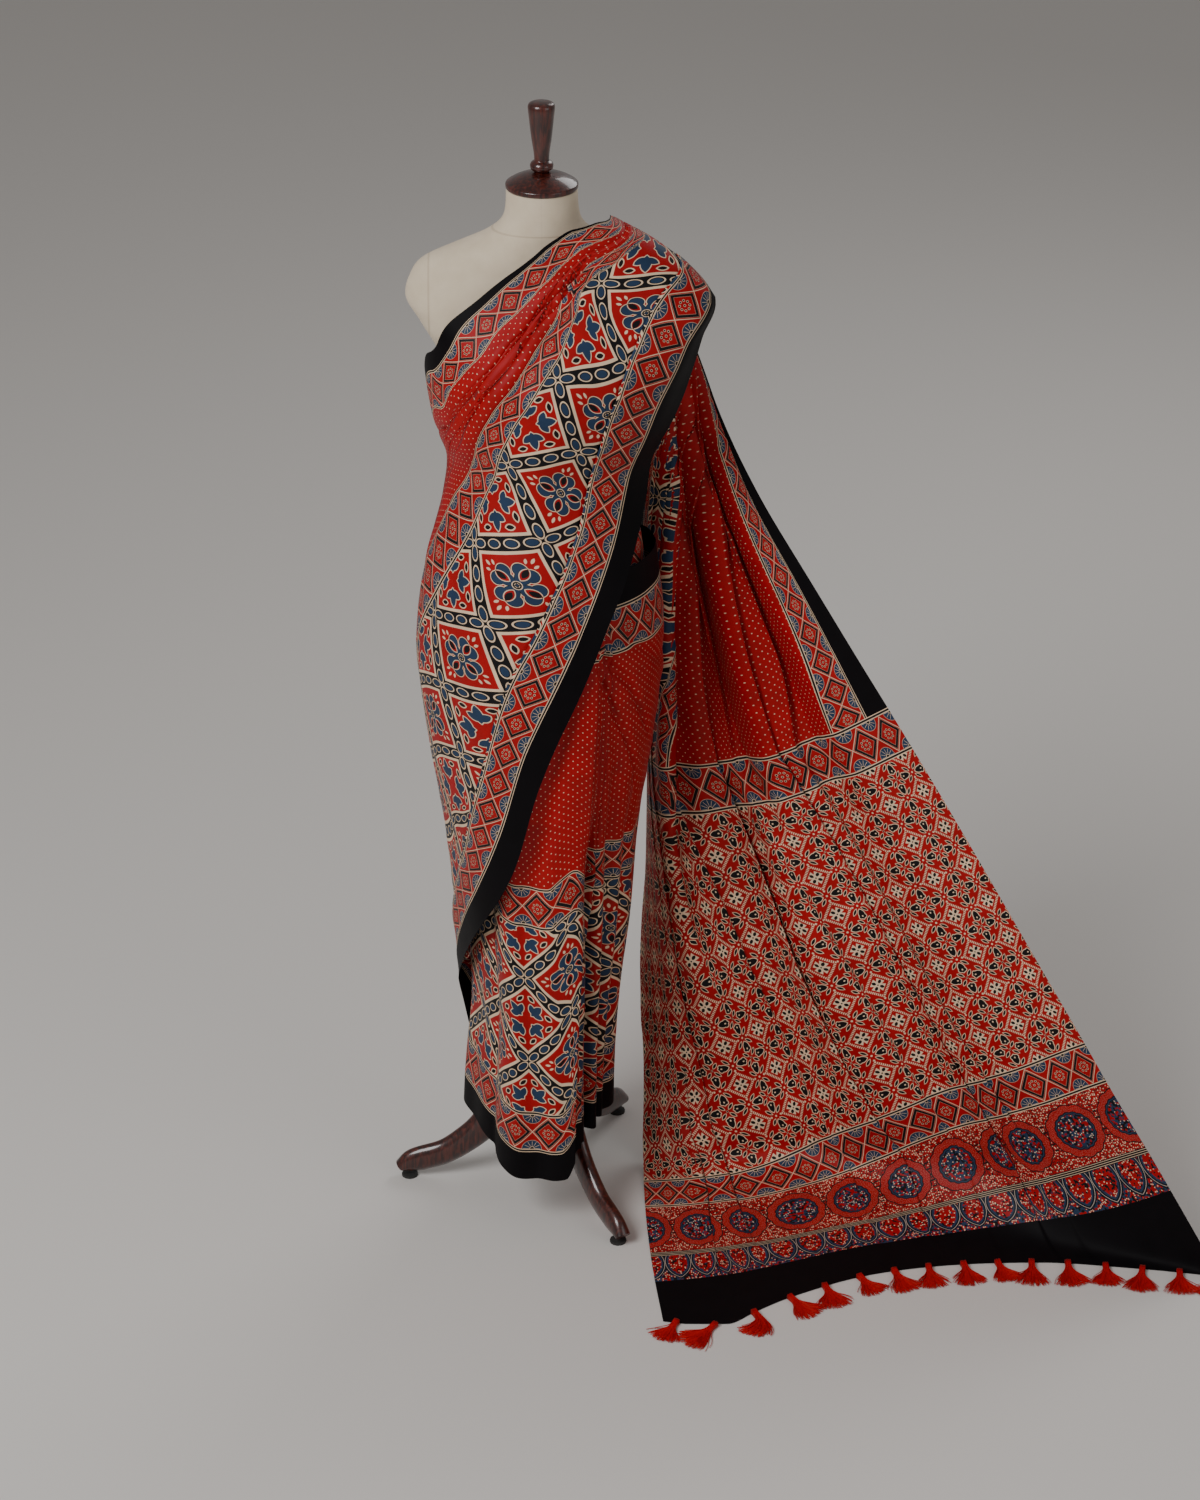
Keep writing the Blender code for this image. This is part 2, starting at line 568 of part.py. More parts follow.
def stand():
    turned("pole", ((POLE_RADIUS, HUB_HIGH + GAP), (POLE_RADIUS, TORSO_BOTTOM - GAP)), "dark_wood", 16)
    turned(
        "hub",
        (
            (0.012, HUB_LOW - 0.02),
            (0.024, HUB_LOW - 0.012),
            (HUB_RADIUS - 0.002, HUB_LOW),
            (HUB_RADIUS - 0.002, HUB_HIGH - 0.03),
            (0.030, HUB_HIGH - 0.02),
            (0.019, HUB_HIGH),
        ),
        "dark_wood",
        24,
    )
    section = 8
    for name, degrees in zip(("leg_right", "leg_front", "leg_back"), LEG_ANGLES):
        a = math.radians(degrees)
        out, side = np.array([math.cos(a), math.sin(a), 0]), np.array([-math.sin(a), math.cos(a), 0])
        rings = []
        for k, (r, z, depth, tilt) in enumerate(LEG):
            normal = np.array([math.sin(math.radians(tilt)), math.cos(math.radians(tilt))])
            thick = LEG_THICKNESS * (1 - 0.25 * k / len(LEG))
            for j in range(section):
                turn_by = 2 * math.pi * (j + 0.5) / section
                across = math.cos(turn_by) * thick / 2
                up = math.sin(turn_by) * depth / 2 / math.sin(1.5 * math.pi / section * 2)
                point = out * (r + normal[0] * up) + side * across
                point = point + np.array([0, 0, z + normal[1] * up])
                point[2] = max(point[2], FOOT_PAD_HEIGHT + GAP)
                rings.append(point)
        new_object(name, rings, ring_faces(len(LEG), section), "dark_wood")
        foot = out * LEG_REACH
        pad = [(FOOT_PAD_RADIUS, 0.0), (FOOT_PAD_RADIUS, FOOT_PAD_HEIGHT)]
        angle = np.linspace(0, 2 * math.pi, 12, endpoint=False)
        points = [foot + np.array([r * math.cos(t), r * math.sin(t), z]) for r, z in pad for t in angle]
        new_object(name.replace("leg", "foot"), points, ring_faces(2, 12), "foot_pads", smooth=False)


def centre_on_origin():
    """Moves every mesh so that the origin lies on the floor under the middle of the whole."""
    made = [o for o in bpy.context.scene.objects if o.type == "MESH"]
    corners = np.array([v.co for o in made for v in o.data.vertices])
    low, high = corners.min(0), corners.max(0)
    shift = np.array([(low[0] + high[0]) / 2, (low[1] + high[1]) / 2, low[2]])
    for o in made:
        for v in o.data.vertices:
            v.co = v.co - type(v.co)(shift)


def main():
    for old in list(bpy.data.objects):
        bpy.data.objects.remove(old, do_unlink=True)
    form_torso()
    neck_cap()
    stand()
    sheet_solid("saree", saree_grid(), CLOTH_THICKNESS, "ajrakh_print")
    tassels()
    centre_on_origin()


main()
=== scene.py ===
"""The ajrakh saree on its dress form as it looks: printed cloth with its folds, tassels, form and stand.

The shapes come from the same named sizes as the solids, worked out on finer grids. The cloth is then read
again at even distances from its end hem, so that the print lies on it as it was printed flat.
"""

import math

import bpy
import numpy as np
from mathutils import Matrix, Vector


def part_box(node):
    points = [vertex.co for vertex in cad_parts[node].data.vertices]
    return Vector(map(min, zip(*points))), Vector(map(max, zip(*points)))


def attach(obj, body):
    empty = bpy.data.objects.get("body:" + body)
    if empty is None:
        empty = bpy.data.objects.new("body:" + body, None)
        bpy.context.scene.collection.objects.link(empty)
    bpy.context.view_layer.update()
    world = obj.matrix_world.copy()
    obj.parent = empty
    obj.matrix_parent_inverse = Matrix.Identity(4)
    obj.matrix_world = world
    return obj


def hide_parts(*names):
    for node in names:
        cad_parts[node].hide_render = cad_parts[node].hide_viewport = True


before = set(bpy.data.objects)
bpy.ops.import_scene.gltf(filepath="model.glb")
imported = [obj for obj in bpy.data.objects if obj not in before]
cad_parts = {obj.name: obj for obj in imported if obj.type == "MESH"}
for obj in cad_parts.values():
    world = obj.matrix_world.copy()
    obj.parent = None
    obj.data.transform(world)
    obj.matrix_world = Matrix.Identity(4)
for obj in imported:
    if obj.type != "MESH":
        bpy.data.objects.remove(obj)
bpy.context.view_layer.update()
CAP_LOW, CAP_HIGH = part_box("neck_cap")
AXIS = np.array([(CAP_LOW[0] + CAP_HIGH[0]) / 2, (CAP_LOW[1] + CAP_HIGH[1]) / 2, 0.0])

CLOTH_WIDTH = 1.08  # across, edge to edge
GAP = 0.0004  # left between neighbouring solids

EDGE_BAND = 0.045  # plain black band at both long edges
FLOWER_BAND = 0.068  # chain of diamonds
LATTICE_BAND = 0.306  # wide lattice border above the lower band
LOWER_BAND_TOP = EDGE_BAND + FLOWER_BAND
LATTICE_TOP = LOWER_BAND_TOP + LATTICE_BAND
BORDER_TOP = LATTICE_TOP + FLOWER_BAND
UPPER_BAND_LOW = CLOTH_WIDTH - EDGE_BAND - FLOWER_BAND

TOTAL_HEIGHT = 1.66
CAP_RADIUS = 0.048
TORSO_BOTTOM = 0.72
POLE_RADIUS = 0.014
HUB_RADIUS = 0.034
HUB_LOW, HUB_HIGH = 0.105, 0.225
LEG_THICKNESS = 0.03
LEG_ANGLES = (("right", 180.0), ("front", -60.0), ("back", 60.0))
FOOT_PAD_HEIGHT = 0.004
LEG_ROWS = 60  # sections worked out along a leg
# A leg's middle line outwards from the hub: distance from the axis, height, depth of the wood, and how many
# degrees its section leans out
LEG = (
    (HUB_RADIUS + GAP, 0.150, 0.072, 0),
    (0.053, 0.141, 0.064, 16),
    (0.076, 0.114, 0.052, 44),
    (0.100, 0.083, 0.045, 46),
    (0.126, 0.060, 0.042, 34),
    (0.155, 0.041, 0.040, 20),
    (0.185, 0.031, 0.040, 12),
    (0.205, 0.025, 0.034, 22),
    (0.221, 0.017, 0.017, 40),
)

TASSEL_COUNT = 16
TASSEL_LENGTH = 0.052
HEAD_RADIUS = 0.004  # how far from a tassel's middle its strands leave the head
FAN_ANGLE = 36  # degrees that a tassel's strands spread to each side
STRANDS = 210  # in each tassel
STRAND_ROWS = 9  # sections along a strand
STRAND_RADIUS = 0.0008
# Each tassel from the left corner: how far it is turned and curled, in degrees, and its length as a share
TASSEL_LEANS = (
    (-14, -10, 1.0), (-38, -25, 1.30), (-12, -70, 1.25), (4, 10, 1.15), (-8, -6, 1.15), (10, 6, 1.0),
    (3, 12, 1.15), (-5, 4, 1.1), (6, -8, 1.1), (12, 10, 1.0), (-3, -5, 1.2), (5, 14, 1.2), (8, -4, 1.05),
    (-4, 6, 1.2), (6, 12, 1.15), (-6, -8, 1.1),
)

# The form's sections: height, half width at its right and left, half depth at the front and back
TORSO = (
    (0.72, 0.132, 0.124, 0.098, 0.086),
    (0.80, 0.146, 0.138, 0.112, 0.102),
    (0.88, 0.151, 0.143, 0.116, 0.110),
    (1.00, 0.136, 0.131, 0.106, 0.102),
    (1.10, 0.108, 0.113, 0.092, 0.086),
    (1.16, 0.102, 0.106, 0.090, 0.082),
    (1.22, 0.117, 0.117, 0.106, 0.087),
    (1.28, 0.132, 0.132, 0.116, 0.088),
    (1.32, 0.143, 0.143, 0.106, 0.086),
    (1.36, 0.166, 0.166, 0.086, 0.080),
    (1.395, 0.184, 0.184, 0.068, 0.068),
    (1.42, 0.178, 0.172, 0.058, 0.060),
    (1.445, 0.160, 0.148, 0.050, 0.052),
    (1.465, 0.116, 0.108, 0.046, 0.047),
    (1.48, 0.080, 0.074, 0.045, 0.045),
    (1.495, 0.058, 0.056, 0.045, 0.045),
    (1.515, 0.049, 0.049, 0.0465, 0.0465),
    (1.5425, 0.0475, 0.0475, 0.0465, 0.0465),
)

# The outer surface of the wrapped cloth, by the same columns; it stands off the form all round
WRAP = (
    (0.03, 0.138, 0.096, 0.118, 0.100),
    (0.20, 0.130, 0.098, 0.124, 0.100),
    (0.33, 0.119, 0.106, 0.130, 0.102),
    (0.45, 0.126, 0.120, 0.135, 0.108),
    (0.60, 0.139, 0.131, 0.142, 0.118),
    (0.75, 0.160, 0.150, 0.148, 0.130),
    (0.88, 0.171, 0.162, 0.150, 0.140),
    (1.00, 0.157, 0.152, 0.140, 0.130),
    (1.10, 0.131, 0.138, 0.122, 0.110),
    (1.16, 0.124, 0.131, 0.116, 0.104),
    (1.22, 0.142, 0.145, 0.132, 0.108),
    (1.28, 0.152, 0.160, 0.140, 0.108),
    (1.34, 0.158, 0.190, 0.122, 0.102),
    (1.386, 0.190, 0.215, 0.088, 0.086),
    (1.417, 0.190, 0.198, 0.072, 0.074),
    (1.44, 0.172, 0.178, 0.064, 0.066),
    (1.468, 0.118, 0.140, 0.058, 0.058),
    (1.49, 0.075, 0.100, 0.054, 0.054),
    (1.51, 0.056, 0.060, 0.052, 0.052),
)

# Height of the hem round the skirt, by angle (0 at the wearer's left, -90 at the front)
HEM = (
    (-180, 0.135),
    (-150, 0.125),
    (-120, 0.105),
    (-95, 0.088),
    (-78, 0.090),
    (-68, 0.132),
    (-45, 0.132),
    (0, 0.132),
    (30, 0.130),
    (60, 0.150),
    (90, 0.105),
    (150, 0.110),
    (180, 0.135),
)

SKIRT_FOLDS = 6  # round one turn, deepest at the hem
FOLD_DEPTH_AT_HEM = 0.021
FOLD_START = 0.85  # height where the skirt's folds fade out
TURN_STEP = 4.0  # degrees between columns of the turns
INNER_TURN = {"start": -172.0, "end": 232.0, "start_off": -0.015, "end_off": -0.0085, "top": 1.115}
OUTER_TURN = {"start": -46.0, "end": 98.0, "start_off": 0.0015, "end_off": -0.001, "top": 1.03}

PLEAT_ROWS = 300  # rows worked out through the pleats
PLEAT_RADIUS = 0.13  # of the skirt there, to measure the way through them

# Front pleats, knife folded towards the wearer's left. Angles at the waist and at the hem, where they fan
# out; the outermost fold comes first, and every layer lies one pitch inside the one before.
PLEAT_RIGHT_FOLDS = ((-64.0, -72.0), (-60.0, -66.0), (-56.0, -60.0))
PLEAT_LEFT_FOLDS = ((-93.0, -104.0), (-91.5, -102.0), (-90.0, -100.0))
PLEAT_MIDDLE = (-78.0, -88.0)
PLEAT_WAY_IN = ((-121.0, -122.0, 0.001, 0.006), (-110.0, -114.0, 0.010, 0.026))
PLEAT_PITCH = (0.0023, 0.0055)
PLEAT_INNERMOST = (0.002, 0.005)
PLEAT_TOP = 1.03

# The last wrap, up to the left shoulder. Each row runs across the cloth; for each line of the print it
# gives the angle, the height and the stand-off, at the outer edge, the two sides of the lattice, the
# border's top, the upper band and the neck edge.
PANEL_LINES = (0.0, LOWER_BAND_TOP, LATTICE_TOP, BORDER_TOP, UPPER_BAND_LOW, CLOTH_WIDTH)
PANEL = (
    ((110, 0.090, 0), (110, 0.20, 0), (110, 0.50, 0), (110, 0.565, 0), (110, 0.97, 0), (110, 1.045, 0)),
    ((130, 0.120, 0), (130, 0.23, 0), (130, 0.535, 0), (130, 0.61, 0), (132, 1.02, 0), (132, 1.10, 0)),
    ((152, 0.19, 2), (152, 0.31, 0), (152, 0.64, 0), (154, 0.73, 0), (155, 1.10, 0), (155, 1.18, 0)),
    ((175, 0.31, 4), (178, 0.43, 2), (172, 0.80, 0), (172, 0.90, 0), (175, 1.19, 0), (175, 1.26, 0)),
    ((195, 0.375, 6), (197, 0.50, 3), (188, 0.91, 0), (188, 1.02, 0), (195, 1.25, 0), (192, 1.315, 0)),
    ((217, 0.436, 9), (212, 0.562, 5), (208, 1.00, 1), (206, 1.11, 0), (211, 1.267, 0), (206, 1.335, 0)),
    ((240, 0.515, 26), (226, 0.62, 12), (223, 1.075, 3), (219, 1.15, 0), (222, 1.30, 0), (220, 1.36, 0)),
    ((257, 0.61, 34), (243, 0.745, 25), (235, 1.14, 5), (230, 1.195, 0), (236, 1.335, 0), (233, 1.385, 0)),
    ((269, 0.75, 34), (257, 0.89, 30), (248, 1.21, 5), (245, 1.26, 1), (248, 1.365, 0), (246, 1.415, 0)),
    ((282, 0.861, 32), (269, 0.974, 28), (262, 1.28, 4), (259, 1.315, 2), (258, 1.39, 0), (256, 1.445, 0)),
    ((300, 0.98, 25), (284, 1.07, 16), (274, 1.335, 4), (269, 1.355, 2), (265, 1.41, 0), (265, 1.468, 0)),
    ((324, 1.07, 10), (295, 1.155, 8), (282, 1.385, 3), (277, 1.39, 2), (272, 1.43, 0), (278, 1.488, 0)),
    ((346, 1.16, 14), (300, 1.235, 6), (288, 1.42, 2), (284, 1.425, 2), (285, 1.455, 1), (300, 1.50, 0)),
    ((352, 1.27, 34), (308, 1.336, 4), (300, 1.44, 2), (298, 1.45, 2), (305, 1.474, 1), (325, 1.500, 0)),
    ((354, 1.345, 20), (320, 1.40, 4), (322, 1.462, 2), (326, 1.47, 2), (335, 1.482, 1), (345, 1.497, 0)),
    ((360, 1.386, 12), (360, 1.440, 4), (360, 1.473, 2), (360, 1.479, 2), (360, 1.489, 2), (365, 1.496, 0)),
)
PANEL_REFINED = 90  # rows worked out up the panel
PANEL_FOLDS = 3
PANEL_FOLD_DEPTH = 0.007

# The hanging end. Each row: x, y and z of its left fold, the same of its right edge, and how far it is
# spread (0 = its border folded back on itself, 1 = flat)
FALL = (
    (0.214, 0.055, 1.358, 0.092, 0.066, 1.462, 1.0),
    (0.186, 0.085, 1.30, 0.120, 0.118, 1.405, 1.0),
    (0.164, 0.098, 1.20, 0.192, 0.150, 1.28, 0.95),
    (0.157, 0.104, 1.08, 0.246, 0.136, 1.16, 0.45),
    (0.156, 0.104, 0.94, 0.305, 0.105, 1.055, 0.08),
    (0.156, 0.102, 0.79, 0.375, 0.066, 0.95, 0.0),
    (0.152, 0.098, 0.64, 0.452, 0.022, 0.83, 0.03),
    (0.148, 0.090, 0.49, 0.532, -0.024, 0.705, 0.12),
    (0.143, 0.082, 0.35, 0.607, -0.066, 0.585, 0.28),
    (0.142, 0.074, 0.22, 0.682, -0.108, 0.462, 0.46),
    (0.143, 0.064, 0.10, 0.757, -0.150, 0.34, 0.64),
    (0.142, 0.045, 0.028, 0.818, -0.185, 0.24, 0.78),
    (0.142, 0.005, 0.004, 0.862, -0.208, 0.17, 0.86),
    (0.143, -0.075, 0.0, 0.902, -0.232, 0.105, 0.93),
    (0.147, -0.165, 0.0, 0.937, -0.254, 0.048, 0.98),
    (0.154, -0.265, 0.0, 0.962, -0.267, 0.008, 1.0),
    (0.166, -0.383, 0.0, 0.979, -0.276, 0.0, 1.0),
)
# How the folded border lies, by distance across the cloth: metres from the left fold, then the share of
# the way to the right edge, and how far behind the front of the fall
FOLDED_BORDER = (
    (0.0, -0.012, 0.0, 0.046),
    (0.06, -0.010, 0.0, 0.036),
    (0.165, -0.003, 0.0, 0.022),
    (0.27, 0.005, 0.0, 0.010),
    (0.37, 0.020, 0.0, 0.000),
    (0.419, 0.025, 0.0, 0.004),
    (0.487, 0.019, 0.0, 0.016),
    (0.585, 0.026, 0.130, 0.016),
    (0.967, 0.0, 0.800, 0.0),
    (CLOTH_WIDTH, 0.0, 1.0, 0.0),
)
FALL_FOLDS = 3.0  # soft folds that fan out from the shoulder
FALL_FOLD_DEPTH = 0.014
FALL_FOLD_SLOPE = 0.04  # the folds' depth as a share of a narrow fall's width
FALL_REFINED = 80  # rows worked out down the fall
FALL_LANDS = 0.03  # the left fold touches the floor below this height
# The end's hem on the floor: share of the width, x and y
END_HEM = (
    (0.0, 0.166, -0.383),
    (0.085, 0.239, -0.393),
    (0.19, 0.327, -0.336),
    (0.34, 0.447, -0.273),
    (0.53, 0.598, -0.240),
    (0.68, 0.715, -0.235),
    (0.82, 0.832, -0.248),
    (0.95, 0.938, -0.266),
    (1.0, 0.979, -0.276),
)

ACROSS = np.array(
    [0.0, EDGE_BAND, LOWER_BAND_TOP, 0.165, 0.215, 0.27, 0.32, 0.37, LATTICE_TOP, BORDER_TOP, 0.535, 0.585]
    + [0.635, 0.685, 0.735, 0.785, 0.835, 0.885, 0.93, UPPER_BAND_LOW, CLOTH_WIDTH - EDGE_BAND, CLOTH_WIDTH]
)


def through(rows, at):
    """A smooth curve through the rows (first column is where each lies), read at the places asked for."""
    rows = np.asarray(rows, float)
    x, y = rows[:, 0], rows[:, 1:]
    at = np.clip(np.asarray(at, float), x[0], x[-1])
    slope = np.diff(y, axis=0) / np.diff(x)[:, None]
    tangent = np.zeros_like(y)
    steepest = 2.5 * np.minimum(abs(slope[1:]), abs(slope[:-1]))
    mean = np.where(slope[1:] * slope[:-1] > 0, (slope[1:] + slope[:-1]) / 2, 0)
    tangent[1:-1] = np.clip(mean, -steepest, steepest)
    tangent[0], tangent[-1] = slope[0], slope[-1]
    i = np.clip(np.searchsorted(x, at, side="right") - 1, 0, len(x) - 2)
    step = (x[i + 1] - x[i])[..., None]
    u = (at - x[i])[..., None] / step
    return (
        y[i] * (1 + 2 * u) * (1 - u) ** 2
        + tangent[i] * step * u * (1 - u) ** 2
        + y[i + 1] * u * u * (3 - 2 * u)
        + tangent[i + 1] * step * u * u * (u - 1)
    )


def ramp(value, start, width):
    """Rises evenly from 0 at the start to 1 one width on; a negative width runs the other way."""
    return np.clip((value - start) / width, 0, 1)


def refined(rows, count):
    """The rows read at that many even places from the first to the last."""
    rows = np.array(rows, float)
    flat = np.column_stack([np.linspace(0, 1, len(rows)), rows.reshape(len(rows), -1)])
    return through(flat, np.linspace(0, 1, count)).reshape(count, *rows.shape[1:])


def eased(share):
    """The share from 0 to 1, with a gentle start and end."""
    return share**2 * (3 - 2 * share)


def even_angles(count):
    return np.linspace(0, 2 * math.pi, count, endpoint=False)


def round_section(table, angle, z, off):
    """A point of a four-quarter ellipse whose half axes come from the table at height z, plus off."""
    half = through(table, z)
    c, s = np.cos(angle), np.sin(angle)
    width = np.where(c < 0, half[..., 0], half[..., 1]) + off
    depth = np.where(s < 0, half[..., 2], half[..., 3]) + off
    return np.stack([width * c, depth * s, z + 0 * angle], -1)


# ---------------------------------------------------------------- the saree
def skirt_fold(angle, z):
    """How far the hanging folds of the skirt stand out, growing from FOLD_START down to the hem.

    The front, between the pleats, keeps none.
    """
    fall = ramp(z, FOLD_START, -FOLD_START) ** 1.2
    away_from_front = ramp(np.sin(angle), -1, 0.9) ** 1.5
    return -FOLD_DEPTH_AT_HEM * fall * away_from_front * (1 - np.cos(SKIRT_FOLDS * angle)) / 2


def hem_height(degrees):
    """Height of the hem at those angles."""
    wrapped = (np.asarray(degrees, float) + 180) % 360 - 180
    return through(HEM, wrapped)[..., 0]


def hung(foot, head, foot_off, head_off, top, folded=0):
    """Columns of cloth from the hem up: angle, height and stand-off change evenly across the cloth.

    The angles are in degrees at the hem and at the top. The skirt's folds come in where folded is 1.
    """
    low = hem_height(foot)
    share = (ACROSS / CLOTH_WIDTH)[None, :]
    z = low + (top - low) * share
    angle = np.radians(foot + (head - foot) * share)
    off = foot_off + (head_off - foot_off) * share
    return round_section(WRAP, angle, z, off + folded * skirt_fold(angle, z))


def turn(spec):
    """Columns of a turn round the body."""
    share = np.linspace(0, 1, round((spec["end"] - spec["start"]) / TURN_STEP) + 1)[:, None]
    degrees = spec["start"] + (spec["end"] - spec["start"]) * share
    off = spec["start_off"] + (spec["end_off"] - spec["start_off"]) * share
    return hung(degrees, degrees, off, off, spec["top"], 1)


def pleat_rows():
    """Columns through the pleats: waist angle, hem angle, and stand-off at the waist and at the hem.

    The way runs forward on one layer as far as its right fold and back on the next to its left fold.
    """
    folds = len(PLEAT_RIGHT_FOLDS)
    rows = list(PLEAT_WAY_IN)
    for k in range(folds + 1):
        right = PLEAT_RIGHT_FOLDS[: k + 1]
        layers = [(2 * k, (PLEAT_LEFT_FOLDS[max(k - 1, 0)], PLEAT_MIDDLE, *right))]
        if k < folds:
            layers.append((2 * k + 1, (PLEAT_LEFT_FOLDS[k], PLEAT_MIDDLE, *right)[::-1]))
        for layer, places in layers:
            inside = 2 * folds - layer
            offs = [low + inside * pitch for low, pitch in zip(PLEAT_INNERMOST, PLEAT_PITCH)]
            rows += [(*place, *offs) for place in places]
    return np.array(rows)


def pleats():
    """The pleats, with each layer and each rounded fold read at even steps along the way through them.

    The way's own length, from angle times radius and from the stand-off, says where each row lies.
    """
    rows = pleat_rows()
    steps = np.diff(np.column_stack([np.radians(rows[:, 1]) * PLEAT_RADIUS, rows[:, 3]]), axis=0)
    way = np.concatenate([[0], np.cumsum(np.maximum(np.linalg.norm(steps, axis=1), 1e-5))])
    fine = through(np.column_stack([way, rows]), np.linspace(0, way[-1], PLEAT_ROWS))
    waist, hem, waist_off, hem_off = (column[:, None] for column in fine.T)
    return hung(hem, waist, hem_off, waist_off, PLEAT_TOP)


def panel_fold(up, across):
    """The soft diagonal folds of the dotted ground, which fade out below the shoulder."""
    ground = ramp(across, BORDER_TOP, UPPER_BAND_LOW - BORDER_TOP)
    shape = (1 - np.cos(2 * math.pi * PANEL_FOLDS * ground)) / 2
    return PANEL_FOLD_DEPTH * shape * ramp(up, 0.25, 0.3) * ramp(up, 0.84, -0.2)


def panel():
    """The last wrap over the front, carried up to the top of the shoulder."""
    rows = np.array(PANEL, float)
    rows[..., 2] /= 1000.0
    flat = refined(rows, PANEL_REFINED)
    columns = [through(np.column_stack([PANEL_LINES, row]), ACROSS) for row in flat]
    angle, z, off = np.moveaxis(np.array(columns), -1, 0)
    angle = np.radians(angle)
    up = np.linspace(0, 1, PANEL_REFINED)[:, None]
    return round_section(WRAP, angle, z, off + skirt_fold(angle, z) + panel_fold(up, ACROSS[None, :]))


def fall():
    """The end of the cloth, from behind the shoulder down to the floor and along it.

    Each column runs from its left fold to its right edge. The border is folded back beside the left fold,
    and opens out towards the hem, which lies on the floor on its own curve.
    """
    border = through(FOLDED_BORDER, ACROSS)
    flat_share = ACROSS / CLOTH_WIDTH
    hem = through(END_HEM, flat_share)
    bow = hem - (hem[0] + (hem[-1] - hem[0]) * flat_share[:, None])
    out = []
    for row in refined(FALL, FALL_REFINED):
        left, right, spread = row[0:3], row[3:6], row[6]
        length = np.linalg.norm(right - left)
        share = (border[:, 0] / length + border[:, 1]) * (1 - spread) + flat_share * spread
        line = left + (right - left) * share[:, None]
        across = (right - left)[:2] / np.linalg.norm((right - left)[:2])
        behind = np.array([-across[1], across[0], 0.0])
        depth = min(FALL_FOLD_DEPTH, FALL_FOLD_SLOPE * length)
        wave = depth * np.sin(math.pi * share) * np.cos(2 * math.pi * FALL_FOLDS * share)
        hanging = ramp(right[2], 0.0, 0.4) * ramp(right[2], 1.42, -0.2)  # no folds on floor or shoulder
        line = line + behind * (border[:, 2] * (1 - spread) + wave * hanging)[:, None]
        if left[2] < FALL_LANDS:
            # Landed at the left, and rising to the right edge
            line[:, 2] = left[2] + (right[2] - left[2]) * np.clip(share, 0, 1) ** 2.2
        line[:, :2] += bow * max(0.0, 1 - right[2] / 0.5)
        out.append(line)
    return np.array(out)


# ---------------------------------------------------------------- the cloth as it was printed flat
# Where the print changes: distance from the end hem near it, and distance across the cloth elsewhere
END_LINES = (0.0, 0.095, 0.165, 0.28, 0.35, 0.875, 0.95)
END_ZONES = ("plain_black", "scallops", "medallions", "diamonds", "net", "diamonds")
BODY_LINES = (0.0, EDGE_BAND, *PANEL_LINES[1:-1], CLOTH_WIDTH - EDGE_BAND, CLOTH_WIDTH)
BODY_ZONES = ("plain_black", "diamonds", "lattice", "diamonds", "dotted_ground", "diamonds", "plain_black")
LATTICE_SHIFT = 0.03  # slides the lattice along the cloth
# Where the cloth is cut into pieces for the export, as distances from the end hem
CUTS = (0.0, 0.95, 1.75, 2.5, 3.2, 3.95, 9.0)  # the last is past the cloth's start
PIECE_NAMES = ("saree_end", "saree_fall", "saree_panel", "saree_wrap", "saree_pleats", "saree_turn")
STEP_ACROSS = 0.0042  # the cloth's points lie no further apart than this across it
STEP_ALONG = 0.0065  # and than this along it
PLEATS_FROM = 3.2  # from here on the rows lie closer, for the rounded folds of the pleats
STEP_IN_PLEATS = 0.0036
ABOVE_FLOOR = 0.0008  # the lowest that the cloth lies
END_FOLDS = (0, 0, 2, 0, 5, 0, 0)  # gathered folds taken up by each zone
BODY_FOLDS = (0, 0, 1, 0, 5, 0, 0)  # the same on the body
FOLDS_CHANGE = (1.45, 1.72)  # the one gives way to the other between these distances from the end hem
# No gathered fold stands further out than this, either way: distance from the end hem, metres
GATHER_MOST = (
    (0.0, 0.002), (0.35, 0.004), (0.8, 0.007), (1.2, 0.012), (1.5, 0.012), (1.7, 0.003), (2.1, 0.003),
    (2.4, 0.0045), (3.2, 0.0045),
)
LEFT_LIMITS = (0.03, 0.999)  # least and most of the cloth's width that a row is taken to have left
EVEN_OUT_ACROSS, EVEN_OUT_ROWS = 0.03, 6  # what is left is evened out over these metres and rows
GATHER_ENDS = 3.2  # no gathered folds further than this from the end hem
MOST_ROUNDS = 2500  # of the search for the distances from the end hem
SMALL_ENOUGH = 1e-16  # the sum of squares at which it stops
STEEPEST = 0.97  # the most that a fold stands, as a share of its full height
LINE_SHARE = 0.85  # how far up a fold the printed lines lie, in the end
BODY_LINE_SHARE = 0.98  # and on the body
PAST_EDGE = ((1.10, 0.03), (1.30, 0.006), (1.45, 0.001))  # how far a layer may reach past the row's start
BESIDE = 35  # places to each side where a flat border looks for the fold it lies level with
SLIDE_FROM = 2.95  # behind here the borders keep their own width
TUCKS_OVER = 0.2  # the distance over which that comes in
GROUND_TUCKED = 0.72  # the share of the dotted ground that shows there
WAIST_SWELL = 0.006  # metres outwards
# How much wider each zone lies on the last wrap than its lines alone would give: distance from the end
# hem, then the seven zones. Near the neck the plain edge is turned under.
PANEL_CHANGES = (
    (1.3, 1, 1, 1, 1, 1, 1, 1),
    (1.75, 1, 1.3, 1, 1.5, 1, 1.7, 0.1),
    (1.90, 1, 1.5, 1.13, 1.5, 0.94, 1.7, 0.1),
    (2.02, 1, 1.1, 1.13, 1.5, 0.94, 1.6, 0.5),
    (2.20, 1, 1.25, 1.12, 1.5, 0.95, 1.5, 0.9),
    (2.32, 1, 1.3, 1.05, 1.5, 0.97, 1.5, 1),
    (2.60, 1, 1.05, 1, 1.4, 1, 1.4, 1),
    (2.90, 1, 1, 1, 1, 1, 1, 1),
)
